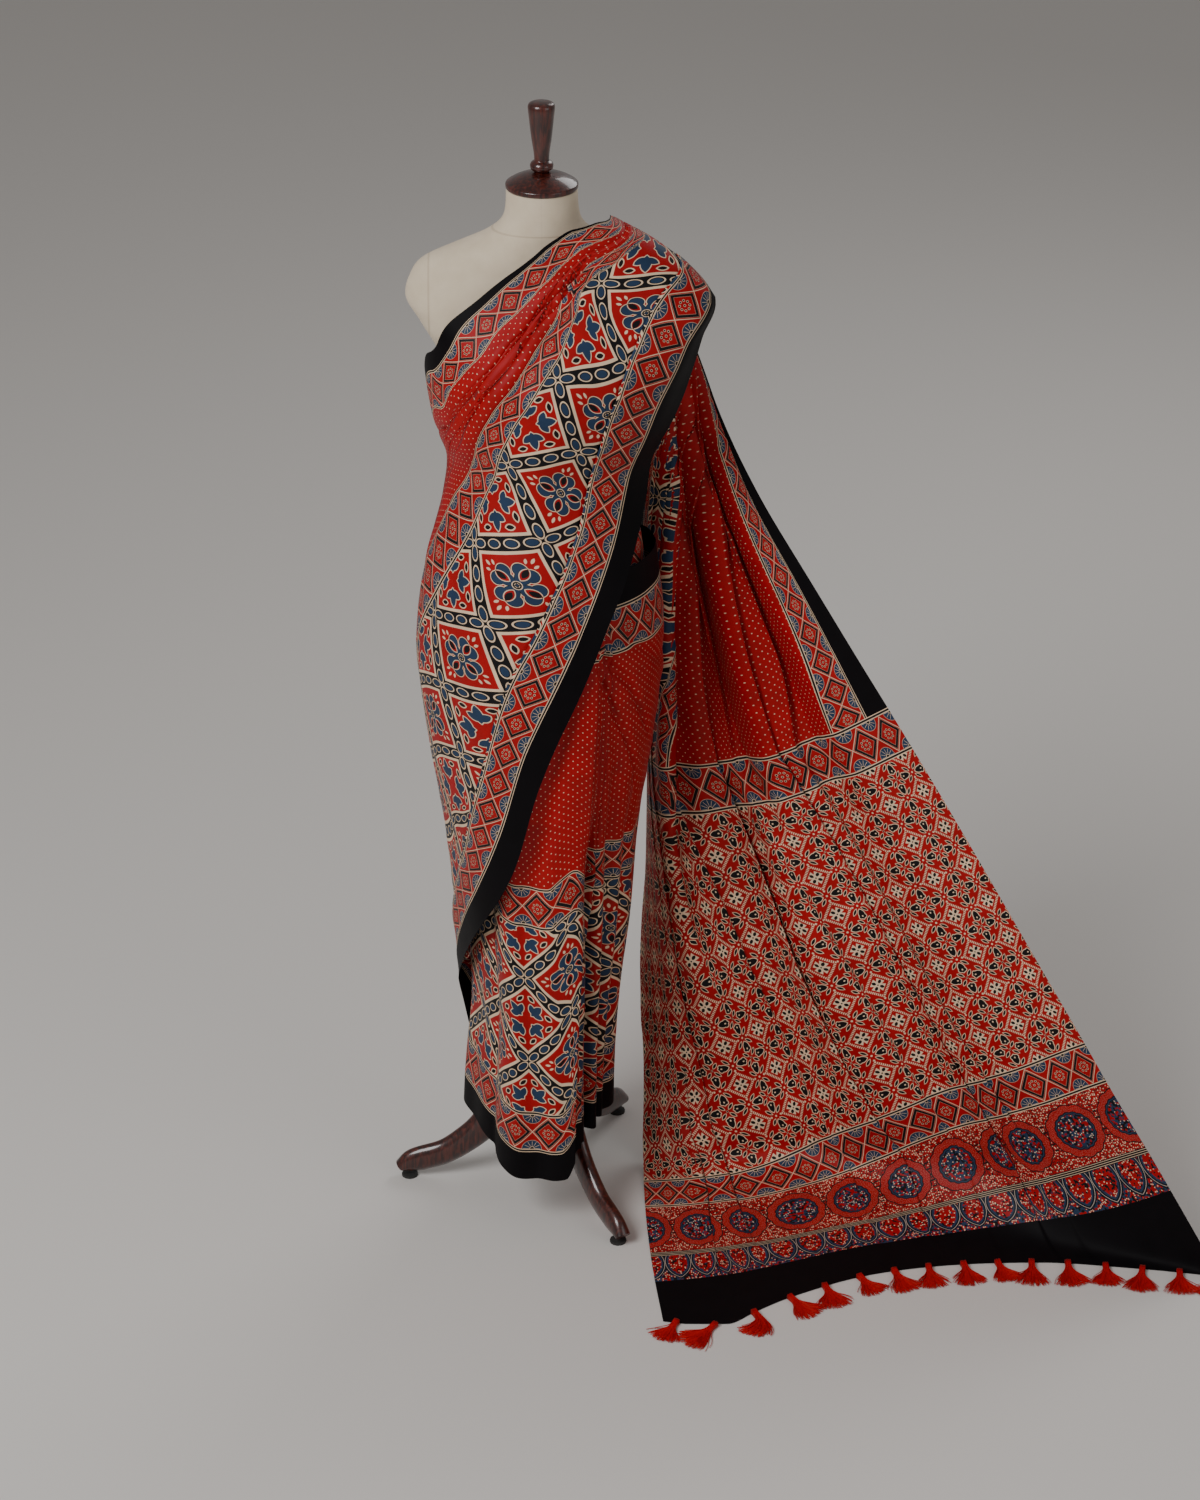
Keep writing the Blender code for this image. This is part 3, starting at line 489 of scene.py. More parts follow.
# The same towards the end: the share of its own width that each part shows, between the folds
END_PARTS = (0.0, 0.113, 0.266, 0.419, 0.487, 0.583, 0.679, 0.775, 0.871, 0.967, CLOTH_WIDTH)
END_SHARES = (
    (0.00, 0.90, 0.50, 0.90, 0.90, 0.95, 0.90, 0.95, 0.50, 0.95, 0.95),
    (0.30, 0.80, 0.22, 0.90, 0.95, 0.98, 0.90, 0.98, 0.35, 0.95, 0.95),
    (0.60, 0.45, 0.12, 0.50, 0.90, 0.98, 0.80, 0.98, 0.22, 0.95, 0.90),
    (0.95, 0.10, 0.08, 0.10, 0.20, 0.90, 0.25, 0.90, 0.16, 0.90, 0.80),
    (1.20, 0.10, 0.06, 0.08, 0.12, 0.80, 0.30, 0.80, 0.20, 0.80, 0.60),
)
# Creases that stand: height, angle in degrees, depth and half width in degrees
STANDING_CREASES = (
    (
        (0.09, -95, 0.010, 7), (0.36, -98, 0.012, 7), (0.55, -100, 0.012, 7), (0.71, -89, 0.008, 6),
        (0.85, -79, 0.006, 5), (0.95, -72, 0.0, 4),
    ),
    (
        (0.09, -58, 0.026, 5), (0.44, -62, 0.028, 5), (0.57, -65, 0.024, 4.5), (0.70, -61, 0.014, 4.5),
        (0.90, -60, 0.006, 4), (0.98, -60, 0.0, 4),
    ),
    (
        (0.09, -38, 0.020, 5), (0.37, -43, 0.020, 5), (0.60, -46, 0.016, 5), (0.78, -50, 0.007, 5),
        (0.88, -55, 0.003, 4), (0.95, -58, 0.0, 4),
    ),
    ((0.09, -20, 0.010, 7), (0.40, -24, 0.010, 7), (0.62, -27, 0.008, 6), (0.75, -30, 0.0, 5)),
)
SWEEP_WIDTH = 0.011  # half width of a sweeping crease
# Creases that sweep round from the waist: angle in degrees, height and depth
SWEEPING_CREASES = (
    ((-66, 0.955, 0.004), (-57, 0.910, 0.008), (-44, 0.870, 0.008), (-32, 0.810, 0.007), (-20, 0.755, 0.0)),
    ((-66, 0.925, 0.003), (-58, 0.869, 0.007), (-44, 0.788, 0.008), (-32, 0.714, 0.005), (-24, 0.67, 0.0)),
    ((-66, 0.972, 0.003), (-50, 0.945, 0.006), (-35, 0.915, 0.006), (-18, 0.880, 0.004), (0, 0.85, 0.0)),
)


def worked_rows():
    """Rows of points across the cloth, from the tucked-in start to the end hem."""
    return np.concatenate([turn(INNER_TURN), pleats(), turn(OUTER_TURN), panel(), fall()])


def unit(vectors):
    return vectors / np.maximum(np.linalg.norm(vectors, axis=-1, keepdims=True), 1e-12)


def mean_direction(grid, axis):
    """The way each point's two steps lead on the whole: the sum of their unit directions."""
    step = unit(np.diff(grid, axis=axis))
    first, last = np.take(step, [0], axis), np.take(step, [-1], axis)
    return np.concatenate([first, step], axis) + np.concatenate([step, last], axis)


def at_points(steps, axis):
    """At each point, the mean of the two steps that meet there; at the ends, the only step."""
    steps = np.moveaxis(steps, axis, 0)
    return np.moveaxis(np.concatenate([steps[:1], (steps[1:] + steps[:-1]) / 2, steps[-1:]]), 0, axis)


def added_up(steps):
    """Running sums along each row, from nought."""
    return np.concatenate([np.zeros((len(steps), 1)), np.cumsum(steps, axis=1)], axis=1)


def distance_from_end(grid):
    """How far each point lies from the end hem, measured in the cloth.

    Along each line of the print the distance drops by the length of the step. Across it, it changes by
    the part of the step that points along the print. The distances that fit both best, by weighted least
    squares with the end hem at nought, come from conjugate gradients.
    """
    length = np.maximum(np.linalg.norm(np.diff(grid, axis=0), axis=-1), 1e-5)
    step = np.diff(grid, axis=1)
    width = np.maximum(np.linalg.norm(step, axis=-1), 1e-5)
    heading = unit(mean_direction(grid, 0))
    lean = -np.sum(step * unit(heading[:, 1:] + heading[:, :-1]), axis=-1)
    wide, long = at_points(width, 1), at_points(length, 0)
    weight_along = (wide[1:] + wide[:-1]) / 2 / length
    weight_across = (long[:, 1:] + long[:, :-1]) / 2 / width

    def spread(along, across):
        out = np.zeros(grid.shape[:2])
        out[:-1] += along
        out[1:] -= along
        out[:, 1:] += across
        out[:, :-1] -= across
        out[-1] = 0
        return out

    def applied(e):
        return spread(weight_along * (e[:-1] - e[1:]), weight_across * (e[:, 1:] - e[:, :-1]))

    start = np.cumsum(length[::-1], axis=0)[::-1]
    found = np.concatenate([start, np.zeros((1, grid.shape[1]))])
    rest = spread(weight_along * length, weight_across * lean) - applied(found)
    toward, size = rest.copy(), np.sum(rest * rest)
    for _ in range(MOST_ROUNDS):
        pushed = applied(toward)
        share = size / max(np.sum(toward * pushed), 1e-30)
        found += share * toward
        rest -= share * pushed
        new_size = np.sum(rest * rest)
        if new_size < SMALL_ENOUGH:
            break
        toward = rest + new_size / size * toward
        size = new_size
    return found


def stations(lines, step, low, high):
    """Even places between neighbouring lines, each line included, no further apart than the step."""
    marks = sorted({*[x for x in lines if low < x < high], low, high})
    runs = [np.linspace(a, b, max(2, math.ceil((b - a) / step) + 1))[:-1] for a, b in zip(marks, marks[1:])]
    return np.concatenate([*runs, [marks[-1]]])


def read_at(grid, distance, wanted):
    """Each line of the print read at the wanted distances from the end hem."""
    way = np.maximum.accumulate(distance[::-1], axis=0) + np.arange(len(grid))[:, None] * 1e-7
    lines = [through(np.column_stack([way[:, k], grid[::-1, k]]), wanted) for k in range(grid.shape[1])]
    return np.stack(lines, 1)


def smoothed(values, reach, axis):
    """Each value averaged with its neighbours under a raised cosine that many places wide."""
    kernel = np.hanning(2 * reach + 3)[1:-1]
    pad = [(0, 0), (0, 0)]
    pad[axis] = (reach, reach)
    kernel = kernel / kernel.sum()
    padded = np.pad(values, pad, mode="edge")
    return np.apply_along_axis(lambda row: np.convolve(row, kernel, mode="valid"), axis, padded)


def slid(points, across, along):
    """Slides the print across the cloth, along the same surface, to where the cloth really carries it.

    Each stretch across the cloth is given a share of its printed width, and all are scaled together so
    that they fill the row. The shares come from PANEL_CHANGES times what is there already, and towards
    the end from END_SHARES. In the pleats and turns the borders keep their own width, and the dotted
    ground gives way, as part of it is tucked in at the waist.
    """
    wide = np.diff(across)[None, :]
    middle = (across[1:] + across[:-1]) / 2
    step = np.linalg.norm(np.diff(points, axis=1), axis=-1)
    whole = step.sum(axis=1, keepdims=True)
    e = along[:, None]
    zone = np.searchsorted(BODY_LINES, middle) - 1
    changes, shares = np.array(PANEL_CHANGES), np.array(END_SHARES)
    change = np.stack([np.interp(along, changes[:, 0], changes[:, k + 1]) for k in zone], 1)
    part = np.searchsorted(END_PARTS, middle) - 1
    share = np.stack([np.interp(along, shares[:, 0], shares[:, k + 1]) for k in part], 1)
    share = share * whole / (share * wide).sum(axis=1, keepdims=True)
    panel_share = step / wide * change
    ground = np.array(BODY_ZONES)[zone] == "dotted_ground"
    rest = (whole - (wide * ~ground).sum()) / (wide * ground).sum()
    at_end, at_skirt = eased(ramp(e, 1.15, -0.25)), eased(ramp(e, SLIDE_FROM, TUCKS_OVER))
    wanted = panel_share + (share - panel_share) * at_end
    wanted += (np.where(ground, rest, 1.0) - wanted) * at_skirt
    wanted = smoothed(wanted, 3, 1) * wide
    wanted *= whole / wanted.sum(axis=1, keepdims=True)
    return along_rows(points, added_up(step), added_up(wanted))


def folds_laid(left, across, along, folds, line_share):
    """How far each point slides along its row, and how far it lifts off it, with folds in each zone.

    With c the share of its width that is left, a fold that takes up a wave w of cloth stands w / 4 times
    the root of 1 - c squared. Folds that would stand too high lean over and lie on each other, as a
    sheared wave, which can't cross itself. The borders stay flat, at the height of the fold beside them.
    """
    lines, folds = np.array(BODY_LINES), np.array(folds)
    turns = np.interp(across, lines, np.concatenate([[0], np.cumsum(folds)]))[None, :]
    some = folds > 0
    ends = np.stack([lines[:-1][some], lines[1:][some]], 1).ravel()
    wave = np.interp(across, ends, np.repeat(np.diff(lines)[some] / folds[some], 2))[None, :]
    e = along[:, None]
    # Slow waves along the cloth, so that no fold is straight or as high as the next
    wander = 0.10 * np.sin(math.pi * turns) ** 2 * np.sin(4.1 * e + 2.3 * turns)
    full = np.sqrt(1 - left**2) * ramp(e, GATHER_ENDS, -0.3) * np.clip(0.25 + e / 0.4, 0, 1)
    height = wave / 4 * full * (1 + 0.2 * np.sin(3.3 * e + 1.9 * turns) * (wave < 0.2))
    flatter = np.interp(across, (0.42, 0.55), (0.5, 1.0))[None, :]  # where the border turns back on itself
    most = np.interp(e, *zip(*GATHER_MOST)) * (flatter + (1 - flatter) * ramp(e, 1.45, 0.25))
    up = np.minimum(STEEPEST, most / np.maximum(height, 1e-6))
    over = np.sqrt(1 - up**2)
    height = height * full**over
    rising = (1 + left * over) / 2
    at = (turns + wander + line_share * rising) % 1.0
    slope = np.where(at < rising, 2 * at / rising - 1, 1 - 2 * (at - rising) / (1 - rising))
    shape, on_line = (0.7 * s + 0.3 * np.sin(math.pi / 2 * s) for s in (slope, 2 * line_share - 1))
    stand = height * up
    padded = np.pad(stand, ((0, 0), (BESIDE, BESIDE)), mode="edge")
    beside = np.lib.stride_tricks.sliding_window_view(padded, 2 * BESIDE + 1, axis=1).max(-1)
    still = ~some[np.clip(np.searchsorted(lines, across) - 1, 0, len(folds) - 1)]
    share = smoothed(still[None, :] * ramp(e, 1.5, 0.3), 3, 1)
    stand = stand + (beside - stand) * share
    return height * over * (shape - on_line), stand * (shape + 1)


def along_rows(values, way, at):
    """Each row of values, known at its own way, read at the places asked for."""
    read = [[np.interp(a, w, row[:, k]) for k in range(3)] for a, w, row in zip(at, way, values)]
    return np.array(read).transpose(0, 2, 1)


def gathered(points, across, along):
    """Lays the cloth in folds where it is drawn in to less than its printed width.

    Every point slides along its own row, so that the layers follow the body and stay in their order, and
    then lifts off it. Past the row's start it carries on straight for a little.
    """
    step = np.linalg.norm(np.diff(points, axis=1), axis=-1)
    width = at_points(step / np.diff(across), 1)
    even_out = max(2, int(EVEN_OUT_ACROSS / np.diff(across).mean()))
    left = smoothed(np.clip(width, *LEFT_LIMITS), even_out, 1)
    left = smoothed(left, EVEN_OUT_ROWS, 0)
    at_end = folds_laid(left, across, along, END_FOLDS, LINE_SHARE)
    on_body = folds_laid(left, across, along, BODY_FOLDS, BODY_LINE_SHARE)
    body = eased(ramp(along, FOLDS_CHANGE[0], FOLDS_CHANGE[1] - FOLDS_CHANGE[0]))[:, None]
    slide, lift = (a + (b - a) * body for a, b in zip(at_end, on_body))
    out = unit(np.cross(unit(mean_direction(points, 1)), mean_direction(points, 0)))
    way = added_up(step)
    at = way + slide
    reach = np.interp(along, *zip(*PAST_EDGE))[:, None]
    past = np.clip(at, -reach, 0)[..., None] * unit(points[:, 3] - points[:, 0])[:, None]
    return along_rows(points, way, at) + past + along_rows(out, way, at) * lift[..., None]


def pleat_creases(points, along):
    """Presses the creases of the skirt into the pleats and the turns under them.

    Each valley is a bell curve of the angle round the stand, or of the height, about its own line.
    The waist swells a little between its creases.
    """
    angle = np.degrees(np.arctan2(points[..., 1], points[..., 0]))
    z = points[..., 2]
    # Only in front, and the swelling only about the waist
    near = ramp(angle, -112, 10) * ramp(angle, 5, -30)
    push = WAIST_SWELL * near * ramp(z, 0.62, 0.12) * ramp(z, 1.0, -0.08)
    for rows in STANDING_CREASES:
        place, depth, width = np.moveaxis(through(rows, z), -1, 0)
        push = push - near * depth * np.exp(-(((angle - place) / width) ** 2))
    for rows in SWEEPING_CREASES:
        height, depth = np.moveaxis(through(rows, angle), -1, 0)
        ends = np.clip((angle - rows[0][0]) / 6 + 1, 0, 1) * np.clip((rows[-1][0] - angle) / 12 + 1, 0, 1)
        push = push - depth * ends * np.exp(-(((z - height) / SWEEP_WIDTH) ** 2))
    push = push * ramp(along, 3.08, 0.06)[:, None]
    radial = unit(points * np.array([1.0, 1.0, 0.0]))
    return points + radial * push[..., None]


# ---------------------------------------------------------------- finishes
RED = (0.40, 0.0025, 0.0055)
CREAM = (0.84, 0.62, 0.42)
INDIGO = (0.018, 0.042, 0.092)
BLACK = (0.005, 0.004, 0.005)
# Repeats of the print. The places and sizes in its drawing are metres on the flat cloth, as these are.
LATTICE_PITCH = 0.139  # from one leaf cell to the next along the border
BAND_PITCH = 0.048  # from one diamond to the next
NET_PITCH = 0.066
MEDALLION_PITCH = 0.098
DOT_PITCH = 0.012
DOT_RADIUS = 0.0008
PRINT_EDGE = 0.0003  # how softly a printed mark ends
NUMBER_EDGE = 0.02  # how softly a choice by random number ends
DIAGONAL = math.sqrt(0.5)
CREASE_DEPTH = 0.0012  # of the bump on cloth
FORM_SEAM = 0.1515  # from the form's middle to its arm seams
NECK_SEAM = 1.488
WEAVE = 3900  # radians of weave in a metre


def plugged(graph, sockets, values):
    """Links each value that varies to its socket, and writes each constant on its own."""
    for name, value in values:
        if isinstance(value, Value):
            graph.links.new(value.socket, sockets[name])
        else:
            sockets[name].default_value = value


def rgba(colour):
    return colour if isinstance(colour, Value) else (*colour, 1.0)


class Value:
    """A number that varies over a surface; arithmetic on it adds Math nodes to its finish.

    A comparison gives 1 where it holds and 0 elsewhere, with a soft edge; a | b is 1 where either is.
    """

    def __init__(self, graph, socket):
        self.graph = graph
        self.socket = socket

    def math(self, operation, *others, clamp=False):
        made = self.graph.nodes.new("ShaderNodeMath")
        made.operation = operation
        made.use_clamp = clamp
        plugged(self.graph, made.inputs, enumerate((self, *others)))
        return Value(self.graph, made.outputs[0])

    def __add__(self, other):
        return self.math("ADD", other)

    def __sub__(self, other):
        return self.math("SUBTRACT", other)

    def __rsub__(self, other):
        return self.math("MULTIPLY_ADD", -1.0, other)

    def __mul__(self, other):
        return self.math("MULTIPLY", other)

    def __truediv__(self, other):
        return self.math("DIVIDE", other)

    def __abs__(self):
        return self.math("ABSOLUTE")

    def __or__(self, other):
        return self.most(other)

    def __lt__(self, other):
        return (self - other).within()

    def __gt__(self, other):
        return (other - self).within()

    __radd__, __rmul__ = __add__, __mul__

    def least(self, other):
        return self.math("MINIMUM", other)

    def most(self, other):
        return self.math("MAXIMUM", other)

    def near(self, pitch):
        """Distance to the nearest multiple of the pitch."""
        return self.math("PINGPONG", pitch / 2)

    def within(self, soft=PRINT_EDGE):
        """1 where this distance is below nought, 0 where it is above, with a soft edge."""
        return self.math("MULTIPLY_ADD", -1 / soft, 0.5, clamp=True)


class Finish:
    """One material: its graph, its shader, and one method that adds any node but a Math node."""

    def __init__(self, name, roughness=0.5, **fixed):
        self.material = bpy.data.materials.new(name)
        self.material.use_nodes = True
        self.graph = self.material.node_tree
        self.shader = self.graph.nodes["Principled BSDF"]
        self.set(Roughness=roughness, **fixed)

    def set(self, **sockets):
        named = ((name.replace("_", " "), value) for name, value in sockets.items())
        plugged(self.graph, self.shader.inputs, named)

    def node(self, kind, settings, sockets, out=0):
        """Adds a node; its settings go first, then the values or links of its sockets."""
        made = self.graph.nodes.new("ShaderNode" + kind)
        for name, value in settings.items():
            setattr(made, name, value)
        plugged(self.graph, made.inputs, sockets.items())
        return Value(self.graph, made.outputs[out])

    def painted(self, colour, *layers):
        """The colour with each layer's colour laid over it in turn, where the layer's mask is 1."""
        for laid, mask in layers:
            colour = self.node("Mix", {"data_type": "RGBA"}, {0: mask, 6: rgba(colour), 7: rgba(laid)}, 2)
        return colour

    def place(self):
        """The place in the object, which is the place in the room."""
        return self.node("TexCoord", {}, {}, 3)

    def parts(self, place, count):
        return (self.node("SeparateXYZ", {}, {0: place}, k) for k in range(count))

    def printed(self):
        """The two print coordinates in metres."""
        return self.parts(self.node("UVMap", {"uv_map": "print"}, {}), 2)

    def joined(self, x, y, z=0.0):
        return self.node("CombineXYZ", {}, {0: x, 1: y, 2: z})

    def noise(self, at, scale, detail, **more):
        return self.node("TexNoise", {}, {"Vector": at, "Scale": scale, "Detail": detail, **more})

    def bump(self, strength, height, depth=CREASE_DEPTH):
        return self.node("Bump", {}, {"Strength": strength, "Distance": depth, "Height": height})

    def length(self, x, y):
        return self.node("VectorMath", {"operation": "LENGTH"}, {0: self.joined(x, y)}, 1)

    def turned(self, x, y, cx, cy, degrees):
        """x and y from the centre given, measured along axes turned by the angle."""
        c, s = math.cos(math.radians(degrees)), math.sin(math.radians(degrees))
        first = x.math("MULTIPLY_ADD", c, y.math("MULTIPLY_ADD", s, -cx * c - cy * s))
        second = x.math("MULTIPLY_ADD", -s, y.math("MULTIPLY_ADD", c, cx * s - cy * c))
        return first, second

    def almond(self, x, y, half_length, half_width):
        """Distance outside a pointed leaf along x: the overlap of two circles."""
        radius = (half_length**2 + half_width**2) / (2 * half_width)
        return self.length(x, abs(y) + (radius - half_width)) - radius

    def leaf(self, x, y, cx, cy, degrees, half_length, half_width):
        """The same about the centre given, turned by the angle."""
        return self.almond(*self.turned(x, y, cx, cy, degrees), half_length, half_width)

    def ring(self, distance, at, half_width):
        return abs(distance - at) < half_width

    def specks(self, x, y, size, share, seed):
        """Round specks at random places, and a random number for each."""
        at = self.node("VectorMath", {"operation": "SCALE"}, {0: self.joined(x, y, seed), 3: 1 / size})
        cells = ({"voronoi_dimensions": "2D"}, {"Vector": at, "Scale": 1.0})
        distance, number = (self.node("TexVoronoi", *cells, out) for out in (0, 1))
        return (distance - share).within(0.12), self.node("SeparateColor", {}, {0: number}, 0)

    def cloth(self, colour, gloss=0.2):
        """Joins the colour to the shader with uneven dye, a soft sheen and a woven bump."""
        at = self.place()
        uneven = self.noise(at, 38.0, 3.0)
        shade = self.joined(*[uneven * 1.5] * 3)
        multiply = {"data_type": "RGBA", "blend_type": "MULTIPLY"}
        dyed = self.node("Mix", multiply, {0: 0.35, 6: rgba(colour), 7: shade}, 2)
        woven = self.noise(at, 900.0, 1.0) * 0.25 + self.noise(at, 26.0, 2.0)
        self.set(Base_Color=dyed, Roughness=uneven * 0.12 + 0.5, Normal=self.bump(0.25, woven))
        self.set(Sheen_Weight=0.15 * gloss, Sheen_Roughness=0.4, Specular_IOR_Level=gloss)
        return self.material


def plain_black():
    return Finish("plain_black_cloth").cloth(BLACK, 0.07)


def dotted_ground():
    """Red with small cream dots in staggered rows."""
    f = Finish("dotted_red_cloth")
    x, y = f.printed()
    first = f.length(x.near(DOT_PITCH), y.near(DOT_PITCH))
    second = f.length((x + DOT_PITCH / 2).near(DOT_PITCH), (y + DOT_PITCH / 2).near(DOT_PITCH))
    return f.cloth(f.painted(RED, (CREAM, (first.least(second) - DOT_RADIUS).within(0.0005))))


def diamonds():
    """A chain of diamonds with eight-dot flowers, fans above and below, and a double line at each side."""
    f = Finish("diamond_band_cloth")
    x, y = f.printed()
    across, up = x.near(BAND_PITCH), abs(y)
    fan_x, fan_y = BAND_PITCH / 2 - across, 0.028 - up
    reach = f.length(fan_x, fan_y)
    angle = fan_y.math("ARCTAN2", fan_x)
    vein = (angle.near(math.pi / 6) * reach - 0.00025).within(0.0002) * (reach > 0.0045)
    edge = (across / 0.024 + up / 0.0275 - 1.0) * 0.018
    far, close = across.most(up), across.least(up)
    dots = f.length(far - 0.0068, close).least(f.length(far - 0.0049, close - 0.0049))
    dots = dots.least(f.length(across, up))
    layers = (
        (CREAM, reach < 0.0140),
        (INDIGO, reach < 0.0136),
        (CREAM, vein * (reach < 0.0120)),
        (CREAM, reach < 0.0036),
        (BLACK, reach < 0.0028),
        (CREAM, f.ring(edge, 0.0, 0.0005)),
        (CREAM, f.ring(edge, -0.0040, 0.0021)),
        (BLACK, f.ring(edge, -0.0040, 0.0019)),
        (CREAM, dots < 0.0017),
        (BLACK, dots < 0.0012),
        (CREAM, up > 0.0287),
        (BLACK, f.ring(up, 0.0314, 0.0014)),
    )
    return f.cloth(f.painted(RED, *layers))


def lattice():
    """Black diagonal strips of ovals between cream lines, round leaf cells and flower cells in turn."""
    f = Finish("lattice_cloth")
    x, y = f.printed()
    pitch = LATTICE_PITCH / math.sqrt(2)
    p, q = f.turned(x, y, LATTICE_SHIFT, 0.0, 45)
    off_p, off_q = ((v - pitch / 2).near(pitch) for v in (p, q))
    strip = off_p.least(off_q)
    oval_p = f.length(off_p / 0.0052, (q - pitch / 8).near(pitch / 4) / 0.0092)
    oval_q = f.length(off_q / 0.0052, (p - pitch / 8).near(pitch / 4) / 0.0092)
    oval = (oval_p.least(oval_q) - 1.0) * 0.0052
    turn_p, turn_q = ((v / pitch + 0.5).math("FLOOR") for v in (p, q))
    flower_cell = (turn_p + turn_q).math("PINGPONG", 1.0)
    local_p, local_q = (v.math("WRAP", pitch / 2, -pitch / 2) for v in (p, q))
    u, v = (abs(local) for local in f.turned(local_p, local_q, 0.0, 0.0, -45))
    far, close = u.most(v), u.least(v)
    out, side = (u + v) * DIAGONAL, (far - close) * DIAGONAL
    leaf = f.almond(out - 0.0225, side, 0.0125, 0.006)
    leaf = leaf.least(f.leaf(out, side, 0.0185, 0.0062, 62, 0.0088, 0.0048))
    drop = f.leaf(far, close, 0.0345, 0.0085, 135, 0.0066, 0.0036)
    petal = f.length(far - 0.0195, close - 0.0062) - 0.0082
    petal = petal.least(f.almond(far - 0.0135, close, 0.0125, 0.0085))
    corner = f.almond(far - 0.0385, close, 0.0042, 0.0018)
    corner = corner.least(f.leaf(far, close, 0.0335, 0.006, 25, 0.0034, 0.0017))
    inside = f.almond(far - 0.0170, close, 0.0098, 0.0056)
    centre = f.length(u, v)
    dark = f.almond(far - 0.0185, close, 0.0068, 0.0034).within()
    dark = dark | f.ring(centre, 0.0037, 0.0009) | f.ring(petal, -0.0002, 0.0003)

    def by_cell(leafy, flowery):
        return leafy + (flowery - leafy) * flower_cell

    layers = (
        (CREAM, by_cell((leaf < 0.0010) | (drop < 0.0006), (petal < 0.0010) | corner.within())),
        (INDIGO, by_cell(leaf < -0.0002, petal < -0.0001)),
        (CREAM, flower_cell * (inside.within() | (centre < 0.0056))),
        (RED, flower_cell * (inside < -0.0010)),
        (INDIGO, flower_cell * (centre < 0.0022)),
        (BLACK, by_cell(drop < -0.0009, dark)),
        (CREAM, strip < 0.0124),
        (BLACK, strip < 0.0086),
        (CREAM, oval < 0.0006),
        (BLACK, oval < -0.0005),
        (INDIGO, oval < -0.0013),
    )
    return f.cloth(f.painted(RED, *layers))


def net():
    """Speckled squares framed by rungs, joined by hearts and thin leaves round flowers."""
    f = Finish("net_cloth")
    x, y = f.printed()
    u, v = x.near(NET_PITCH), y.near(NET_PITCH)
    half = NET_PITCH / 2
    far, close = u.most(v), u.least(v)
    square, along = (u + v) * DIAGONAL, (far - close) * DIAGONAL
    rungs = f.ring(square, 0.0146, 0.0018) * (along.near(0.0029) < 0.0008)
    corner = abs(far - 0.0243) + close < 0.0020
    wedge = (close < (far - 0.0062) * 0.5) * (far < 0.0142)
    cream_square = (square < 0.0102) * (1 - wedge)
    seed = f.leaf(far, close, 0.0046, 0.0046, 45, 0.0036, 0.0024)
    leaf = f.leaf(far, close, 0.0245, 0.0085, 135, 0.0072, 0.0027)
    leaf = leaf.least(f.leaf(far, close, 0.0262, 0.0262, 45, 0.0064, 0.0027))
    side = half - far
    heart = f.length(side - 0.0029, close - 0.0190) - 0.0040
    heart = heart.least(f.almond(close - 0.0150, side, 0.0098, 0.0060))
    tip = f.length(side, half - close)
    star = f.length(side, close).least(tip)
    drop = f.length(side * 1.3, close - 0.0182)
    cream = rungs | corner | cream_square | leaf.within() | heart.within() | (star < 0.0016)
    black = (leaf < -0.0009) | (heart < -0.0012) | seed.within()
    black = black | (f.length(far, close) < 0.0012) | (tip < 0.0012)
    return f.cloth(f.painted(RED, (CREAM, cream), (BLACK, black), (CREAM, drop < 0.0015)))


def medallions():
    """Indigo speckled rounds with wavy black outlines and a red ring, on a speckled ground."""
    f = Finish("medallion_cloth")
    x, y = f.printed()
    across = x.near(MEDALLION_PITCH)
    reach = f.length(across, y)
    angle = y.math("ARCTAN2", across)
    outer = reach - 0.0455 - abs((angle * 6).math("COSINE")) * 0.0025
    inner = reach - 0.0325 - abs((angle * 8).math("COSINE")) * 0.0016
    spot, which = f.specks(x, y, 0.0034, 0.31, 0.0)
    small, _ = f.specks(x, y, 0.0021, 0.22, 3.0)
    between = MEDALLION_PITCH / 2 - across
    bars = (between < 0.0035) * (y.near(0.011) < 0.0014)
    ring, inside = outer.within(), inner.within()
    lines = f.ring(outer, 0.0, 0.0009) | f.ring(inner, 0.0, 0.0009) | f.ring(inner, -0.0036, 0.0006)
    layers = (
        (CREAM, spot * (0.35 - which).within(NUMBER_EDGE)),
        (BLACK, spot * (which - 0.50).within(NUMBER_EDGE)),
        (BLACK, bars * ((between > 0.0012) | (abs(y) < 0.024))),
        (RED, ring),
        (CREAM, ring * small * 0.22),
        (INDIGO, inside),
        (BLACK, inside * (abs(which - 0.62) - 0.12).within(NUMBER_EDGE)),
        (RED, inside * (abs(which - 0.14) - 0.14).within(NUMBER_EDGE)),
        (CREAM, inside * spot * (0.76 - which).within(NUMBER_EDGE)),
        (INDIGO, f.ring(inner, -0.0018, 0.0012)),
        (BLACK, lines),
    )
    return f.cloth(f.painted(RED, *layers))


